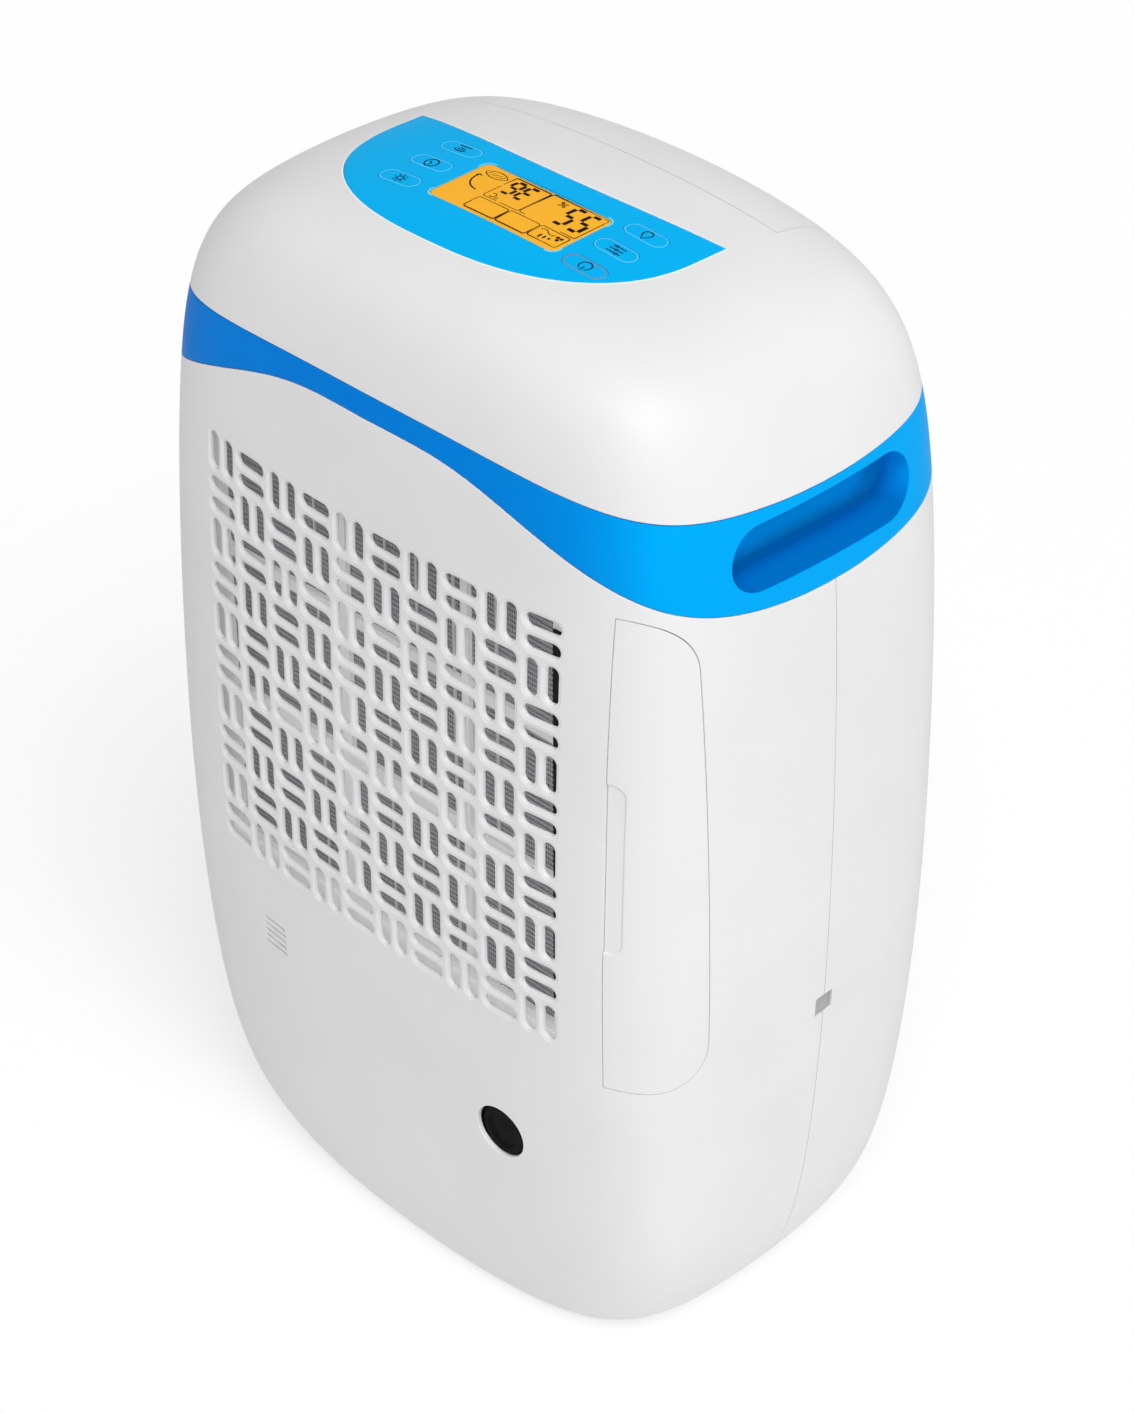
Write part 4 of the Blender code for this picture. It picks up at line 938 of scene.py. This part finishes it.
def icon_strokes(name, x, y):
    """Generic signs for the keys, about 7 mm wide."""
    ring = circle((0.0, 0.0), 1.0, 24)
    lines = []
    if name == "key_swing":
        for reach in (2.0, 3.4, 4.8):
            lines.append(arc((0.0, -2.8), reach, 50, 130, 10))
        lines.append([(-3.6, -2.8), (3.6, -2.8)])
    elif name == "key_timer":
        lines = [closed_path(ring * 3.1), [(0.0, 2.0), (0.0, 0.0), (1.6, -0.9)]]
    elif name == "key_dim":
        lines = [closed_path(ring * 1.5)]
        for k in range(8):
            turn = math.pi * k / 4
            spoke = np.array((math.cos(turn), math.sin(turn)))
            lines.append([spoke * 2.3, spoke * 3.3])
    elif name == "key_humidity":
        drop = np.concatenate([[(0.0, 3.4)], arc((0.0, -0.9), 2.2, 25, -205, 20)])
        lines = [closed_path(drop)]
    elif name == "key_mode":
        for k, level in enumerate((2.2, 0.0, -2.2)):
            lines.append([(-3.6, level), (3.6, level)])
            lines.append([(-1.5 + 1.6 * k, level + 0.9), (-1.5 + 1.6 * k, level - 0.9)])
    else:
        lines = [arc((0.0, -0.3), 2.8, 120, 420, 22), [(0.0, 3.3), (0.0, 0.2)]]
    return [np.array(line, float) * 1.15 + (x, y) for line in lines]


def make_panel():
    panel = mesh_object("panel_sheet", sheet(lambda g: panel_outline(g - GAP), 2.3, 0.25, 0.05, 34))
    carve(panel, opening(screen_outline, "Z", 0.3, 12.0))
    for name, x, row in KEYS:
        carve(panel, opening(key_outline(x, KEY_Y[row]), "Z", 0.12, 12.0))
    dress(panel, "panel", "cabinet", ("control_overlay",), "panel_blue", skin=True)
    # painted highlight: a light strip round the panel in place of the light caught by the cover's opening
    # edge
    add("panel_edge_highlight", stroke(closed_path(panel_outline(0.35)), 0.8, -0.08, 0.7), "bright", "cabinet")

    for name, x, row in KEYS:
        outline = key_outline(x, KEY_Y[row])
        add(name + "_cap", sheet(lambda g: outline(g - 0.2), 2.3, 0.2, 0.1, 8), "panel", name, (name,),
            "panel_blue", skin=True)
        ring = stroke(closed_path(outline(-0.7)), 0.42, 0.05)
        add(name + "_rim", ring, "orange" if name == "key_power" else "line", name)
        signs = [stroke(line, 0.75, 0.05) for line in icon_strokes(name, x, KEY_Y[row])]
        add(name + "_sign", joined(signs), "navy", name)


# Lower left and upper right corners of the boxes on the display.
SCREEN_BOXES = (((-41.0, 0.4), (-5.1, 23.4)), ((-4.4, 1.0), (18.6, 23.6)),
                ((-40.4, 24.8), (-22.2, 35.3)), ((-21.4, 25.2), (-2.2, 36.2)),
                ((-1.4, 25.6), (18.4, 36.4)))


def hoop(x, y, radius):
    return closed_path(circle((x, y), radius, 12))


def screen_signs():
    """Plain signs on the display, as pairs of a path and its width."""
    # degree sign and C
    signs = [(hoop(11.4, 22.0, 0.7), 0.35), (arc((14.6, 20.6), 1.7, 50, 310, 12), 0.5)]
    # per cent sign
    signs.append(([(-17.2, 2.8), (-13.4, 6.6)], 0.4))
    signs += [(hoop(-16.6, 5.9, 0.75), 0.35), (hoop(-14.0, 3.4, 0.75), 0.35)]
    # level bars and a wave, beside the fan's three dots
    for k in range(3):
        signs.append(([(-33.0 + 2.6 * k, 30.8), (-33.0 + 2.6 * k, 32.4 + 0.7 * k)], 1.2))
    swell = np.linspace(0.0, 1.0, 16)
    signs.append((np.stack([-33.4 + 9.4 * swell, 27.6 + 1.1 * np.sin(2 * np.pi * swell)], axis=1), 0.5))
    # swing arrow and leaf at the right
    signs.append((arc((24.6, 11.8), 10.2, -12, 88, 20), 0.8))
    signs.append(([(32.8, 10.4), (34.6, 9.6), (35.6, 11.4)], 0.6))
    leaf = np.concatenate([arc((27.4, -0.6), 9.6, 42, 138, 12), arc((27.4, 12.2), 9.6, 222, 318, 12)])
    signs.append((closed_path(leaf), 0.45))
    for k in range(5):
        signs.append(([(22.6 + 2.2 * k, 4.6), (24.2 + 2.2 * k, 7.6)], 0.35))
    return signs


def make_screen():
    add("display_glass", sheet(lambda g: screen_outline(g - 0.25), 2.2, 0.3, 0.14, 24), "amber", "cabinet",
        ("display_window",), "amber_display", skin=True)
    add("display_rim", stroke(closed_path(screen_outline(0.6)), 1.1, 0.02), "line", "cabinet")

    marks = [stroke(closed_path(rounded(low, high, 1.2, 3)), 0.45, 0.1) for low, high in SCREEN_BOXES]
    for place in (-38.4, -29.0):
        marks += digit("5", place, 2.6, 6.2, 16.4, 2.0)
    for value, place in (("3", 1.0), ("6", 9.4)):
        marks += digit(value, place, 3.4, 5.6, 12.2, 1.7)
    for k in range(3):
        turn = math.radians(90 + 120 * k)
        marks.append(dot(-36.4 + 1.3 * math.cos(turn), 28.6 + 1.3 * math.sin(turn), 1.0))
    marks += [stroke(path, width, 0.1) for path, width in screen_signs()]
    add("display_marks", joined(marks), "ink", "cabinet")


# --- tank ---
TANK_HALF_WIDTH = 138.0
TANK_LOW_Z = 26.0
TANK_HIGH_Z = 206.0
SCOOP_HALF = (54.0, 8.0)
SCOOP_Z = 193.0
SCOOP_INNER_Y = -102.0


def tank_outline(grow):
    return rounded((-TANK_HALF_WIDTH - grow, TANK_LOW_Z - grow),
                   (TANK_HALF_WIDTH + grow, TANK_HIGH_Z + grow), 22.0 + grow, 14)


def scoop_outline(grow, steps=12):
    """The finger scoop of the tank front, in X and Z."""
    half = (SCOOP_HALF[0] + grow, SCOOP_HALF[1] + grow)
    return rounded((-half[0], SCOOP_Z - half[1]), (half[0], SCOOP_Z + half[1]), half[1] - 0.1, steps)


def make_tank_front():
    panel = mesh_object("tank_panel", lower_wall())
    carve(panel, prism(tank_outline(-0.7), "Y", -150.0, -60.0), "INTERSECT")
    cup = mesh_object("cup", prism(scoop_outline(2.0, 10), "Y", -150.0, SCOOP_INNER_Y + 2.0))
    carve(cup, core_shape(0.9, 150.0, 230.0), "INTERSECT")
    carve(panel, cup, "UNION")
    scoop = []
    for grow, inset in [(1.4, -6.0)] + fillet(1.4, 5):
        flat = scoop_outline(grow)
        scoop.append(np.insert(flat, 1, -(skin_y(flat[:, 0], flat[:, 1]) - inset), axis=1))
    soft = 3.0
    for t in np.linspace(0.0, 0.5 * np.pi, 6):
        flat = scoop_outline(-soft * (1.0 - math.cos(t)))
        scoop.append(placed(flat, "Y", SCOOP_INNER_Y - soft * (1.0 - math.sin(t))))
    carve(panel, lofted(scoop))
    dress(panel, "white", "tank", ("tank_front",), "white_plastic", skin=True)


# --- filter ---
# (growth, depth) pairs of the shallow finger dish
NOTCH_DISH = ((1.2, -4.0), (1.2, 0.0), (0.9, 0.1), (0.2, 0.5), (0.0, 0.9))


def notch_outline(grow):
    """The finger dish at the door's rear edge, in X and Z."""
    return rounded((DOOR_REAR_X - NOTCH_DEPTH - grow, NOTCH_LOW_Z - grow),
                   (DOOR_REAR_X + 6.0, NOTCH_HIGH_Z + grow), 6.0 + grow, 8, 12)


def make_door():
    door = mesh_object("door_shell", lower_wall())
    carve(door, prism(door_outline(-0.4), "X", -230.0, DOOR_REAR_X - 0.4), "INTERSECT")
    carve(door, skin_cutter(notch_outline, "Y", NOTCH_DISH))
    dress(door, "white", "filter", ("filter_door",), "white_plastic", skin=True)


FILTER_CELLS_X = ((-104.0, -47.1), (-42.6, 37.8), (45.0, 127.0))
FILTER_CELLS_Z = ((203.0, 285.5), (293.3, 370.7), (377.0, 440.0))
FILTER_STAYS_X = (-64.5, -35.5, -10.0, 11.5, 62.0)
FILTER_LEFT_X = -141.0
NET_PITCH = 1.45
NET_STRAND = (0.27, 0.16)    # half the width and half the thickness of a strand


def make_filter():
    low, high = size_of("filter_frame")
    low[0] = FILTER_LEFT_X
    frame_part = mesh_object("filter_ribs", rounded_block(low, high, "Y", 3.0))
    arm = rounded_block((-157.0, low[1], 300.0), (-139.0, high[1], 350.0), "Y", 3.0)
    carve(frame_part, arm, "UNION")
    carve(frame_part, core_shape(3.2, 150.0, 470.0), "INTERSECT")
    cells = [rounded_block((left, 85.0, base), (right, 115.0, top), "Y", 1.5)
             for left, right in FILTER_CELLS_X for base, top in FILTER_CELLS_Z]
    carve(frame_part, joined(cells))
    # the frame takes the cassette look, which shines light of its own: painted light behind the grille
    dress(frame_part, "cassette", "filter", ("filter_frame",), "white_plastic")
    # the grey stays also shine light of their own: painted light behind the grille
    stays = [rounded_block((x - 0.7, low[1], FILTER_CELLS_Z[0][0] - 3.0),
                           (x + 0.7, low[1] + 1.4, FILTER_CELLS_Z[-1][1] + 3.0), "Z", 0.5, 0.2, 2)
             for x in FILTER_STAYS_X]
    add("filter_stays", joined(stays), "stay", "filter")
    # painted shade: a black strip in the rubber look stands in for the shadow in the gap beside the first
    # filter cells
    gap_shade = rounded_block((-112.0, high[1] + 0.05, 210.0), (-104.6, high[1] + 0.9, 436.0), "Y", 1.0, 0.3)
    add("filter_gap_shade", gap_shade, "rubber", "filter")

    low, high = size_of("filter_mesh")
    half, thin = NET_STRAND
    strands = []
    middle_y = 0.5 * (low[1] + high[1])
    for k in range(int((high[0] - low[0]) / NET_PITCH)):
        x = low[0] + 0.5 * NET_PITCH + k * NET_PITCH
        strands.append(block((x - half, middle_y - thin, low[2]), (x + half, middle_y + thin, high[2])))
    for k in range(int((high[2] - low[2]) / NET_PITCH)):
        z = low[2] + 0.5 * NET_PITCH + k * NET_PITCH
        low_y = middle_y + thin * (1.0 if k % 2 else -3.0)
        strands.append(block((low[0], low_y, z - half), (high[0], low_y + 2.0 * thin, z + half)))
    # the net shines a little light of its own: painted light behind the grille
    add("filter_net", joined(strands), "net", "filter", ("filter_mesh",), "filter_net")


def make_drain():
    """The drain plug: a round cap with a dished middle."""
    low, high = size_of("drain_plug")
    x, z = 0.5 * (low[0] + high[0]), 0.5 * (low[2] + high[2])
    face = high[1]
    radius = 0.5 * (high[0] - low[0])
    profile = ((5.6, low[1]), (5.6, face - 5.0), (radius - 0.4, face - 5.0), (radius, face - 4.4),
               (radius, face - 1.0), (radius - 0.7, face - 0.3), (radius - 2.2, face), (10.4, face),
               (9.6, face - 0.9), (4.0, face - 0.9), (3.0, face - 0.6))
    add("drain_cap", turned(profile, (x, 0.0, z), "Y", 64), "black", "plug", ("drain_plug",),
        "black_plastic")


# --- coils ---
COIL_HALF_WIDTH = 120.0
COIL_TUBE = 3.1
COIL_LOWEST_Z = 226.0
FIN_PITCH = 2.0
FIN_HALF = 0.11


def make_coil(name, side):
    """Real fins on their tubes, between two end plates, with return bends on one side."""
    low, high = size_of(name)
    fins = []
    for k in range(int(2.0 * COIL_HALF_WIDTH / FIN_PITCH)):
        x = -COIL_HALF_WIDTH + 0.5 * FIN_PITCH + k * FIN_PITCH
        wavy = 0.1 * math.sin(k * 1.7)
        fins.append(block((x - FIN_HALF, low[1] + 0.9 + wavy, low[2] + 1.0),
                          (x + FIN_HALF, high[1] - 0.9 + wavy, high[2] - 1.0)))
    add(name + "_fins", joined(fins), "fins", "cabinet", (name,), "coil_aluminium")
    plates = [rounded_block((x - 0.75, low[1], low[2]), (x + 0.75, high[1], high[2]), "X", 2.0, 0.2)
              for x in (-COIL_HALF_WIDTH - 0.75, COIL_HALF_WIDTH + 0.75)]
    add(name + "_plates", joined(plates), "steel", "cabinet")
    middle = 0.5 * (low[1] + high[1])
    tubes = []
    for row in range(9):
        z = COIL_LOWEST_Z + 25.0 * row
        for y in (middle - 5.5, middle + 5.5):
            path = [(-COIL_HALF_WIDTH - 1.0, y, z), (COIL_HALF_WIDTH + 1.0, y, z)]
            tubes.append(tube(path, COIL_TUBE, 10))
    near, far = side * COIL_HALF_WIDTH, side * (COIL_HALF_WIDTH + 9.0)
    for k in range(3):
        z = COIL_LOWEST_Z + 70.0 * k
        path = bent([(near, middle, z), (far, middle, z), (far, middle, z + 25.0),
                     (near, middle, z + 25.0)], 8.0)
        tubes.append(tube(path, COIL_TUBE))
    add(name + "_tubes", joined(tubes), "copper", "cabinet")


# --- stage and camera ---
CAMERA_TURN = 225.175
CAMERA_RISE = 35.097
CAMERA_REACH = 1922.7
CAMERA_LENS = 95.55
AIM = (6.4, -19.2, 277.9)

FLOOR_GLOW = 1.265
FLOOR_GLOW_SEEN = 0.225      # what the floor adds to that for the camera
ROOM_LIGHT = 0.345
ROOM_SIDE_LIGHT = (-0.083, -0.063, 0.029)
SUN_STRENGTH = 2.33
SUN_FROM = (-0.497, 0.287, 0.819)


def make_stage():
    size = 14.0
    floor = bpy.data.meshes.new("floor")
    floor.from_pydata([(-size, -size, 0), (size, -size, 0), (size, size, 0), (-size, size, 0)], [],
                      [(0, 1, 2, 3)])
    floor.materials.append(floor_look())
    linked("floor", floor)

    make_room()
    sun = bpy.data.lights.new("key", "SUN")
    sun.energy = SUN_STRENGTH
    sun.angle = math.radians(40.0)
    linked("key", sun).rotation_euler = Vector(SUN_FROM).to_track_quat("Z", "Y").to_euler()


def floor_look():
    """A pale floor that shines a little of its own light, so shadows stay faint."""
    look = moulded("studio_floor", (0.40, 0.40, 0.40), 0.9, 40.0, 0.01, 0.001, 0.0, glow=FLOOR_GLOW)
    tree = look.node_tree
    path = add_node(tree, "ShaderNodeLightPath")
    level = add_node(tree, "ShaderNodeMath", operation="MULTIPLY_ADD")
    level.inputs[1].default_value = FLOOR_GLOW_SEEN
    level.inputs[2].default_value = FLOOR_GLOW
    tree.links.new(path.outputs["Is Camera Ray"], level.inputs[0])
    tree.links.new(level.outputs[0], tree.nodes["Principled BSDF"].inputs["Emission Strength"])
    return look


def make_room():
    """White walls, a little brighter on one side."""
    world = bpy.data.worlds.new("studio")
    world.use_nodes = True
    tree = world.node_tree
    place = add_node(tree, "ShaderNodeTexCoord")
    side = add_node(tree, "ShaderNodeVectorMath", operation="DOT_PRODUCT")
    side.inputs[1].default_value = ROOM_SIDE_LIGHT
    level = add_node(tree, "ShaderNodeMath", operation="ADD")
    level.inputs[1].default_value = ROOM_LIGHT
    tree.links.new(place.outputs["Generated"], side.inputs[0])
    tree.links.new(side.outputs["Value"], level.inputs[0])
    room_light = tree.nodes["Background"]
    room_light.inputs["Color"].default_value = (1.0, 1.0, 1.0, 1.0)
    tree.links.new(level.outputs[0], room_light.inputs["Strength"])
    bpy.context.scene.world = world


def make_camera():
    turn, rise = math.radians(CAMERA_TURN), math.radians(CAMERA_RISE)
    back = Vector((math.sin(turn) * math.cos(rise), -math.cos(turn) * math.cos(rise), math.sin(rise)))
    data = bpy.data.cameras.new("camera")
    data.lens = CAMERA_LENS
    data.sensor_width = 36.0
    data.clip_end = 50.0
    camera = linked("camera", data)
    camera.location = (Vector(AIM) + back * CAMERA_REACH) * MM
    camera.rotation_euler = back.to_track_quat("Z", "Y").to_euler()
    bpy.context.scene.camera = camera
    bpy.context.scene.view_settings.view_transform = "Standard"


NODE_LOOKS = {
    "clip": ("seam_clip_left", "seam_clip_right"),
    "white": ("tank_lid", "tank_handle"),
    "inner_white": ("outlet_frame", "tank_float"),
    "grey": ("flap_motor", "drain_spout", "drain_hose", "base_pan", "drip_tray", "fan_scroll",
             "fan_impeller"),
    "black": ("terminal_cover", "level_switch", "control_box", "power_inlet"),
    "rubber": ("foot_rear_right", "foot_rear_left", "foot_front_left", "foot_front_right",
               "grommet_1", "grommet_2", "grommet_3"),
    "enamel": ("compressor", "suction_accumulator"),
    "copper": ("discharge_pipe", "suction_pipe", "liquid_pipe", "filter_drier", "capillary_tube"),
    "steel": ("fan_motor", "motor_bracket", "run_capacitor", "flap_shaft", "fan_shaft"),
    "board": ("display_board", "humidity_sensor"),
    "clear": ("water_tank",),
}


def dress_nodes():
    """Gives the frame's own nodes their finish and softened edges."""
    finishes = [(name, look) for look, names in NODE_LOOKS.items() for name in names]
    for name, look in finishes:
        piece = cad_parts[name]
        piece.data.materials.clear()
        piece.data.materials.append(LOOKS[look])
        soften = piece.modifiers.new("soften", "BEVEL")
        soften.width = 0.35 * MM
        soften.segments = 2
        soften.limit_method = "ANGLE"
        soften.angle_limit = math.radians(40.0)


make_rear()
make_front()
make_band()
make_top()
make_panel()
make_screen()
make_tank_front()
make_door()
make_filter()
make_drain()
make_coil("evaporator", -1)
make_coil("condenser", 1)
dress_nodes()
make_stage()
make_camera()
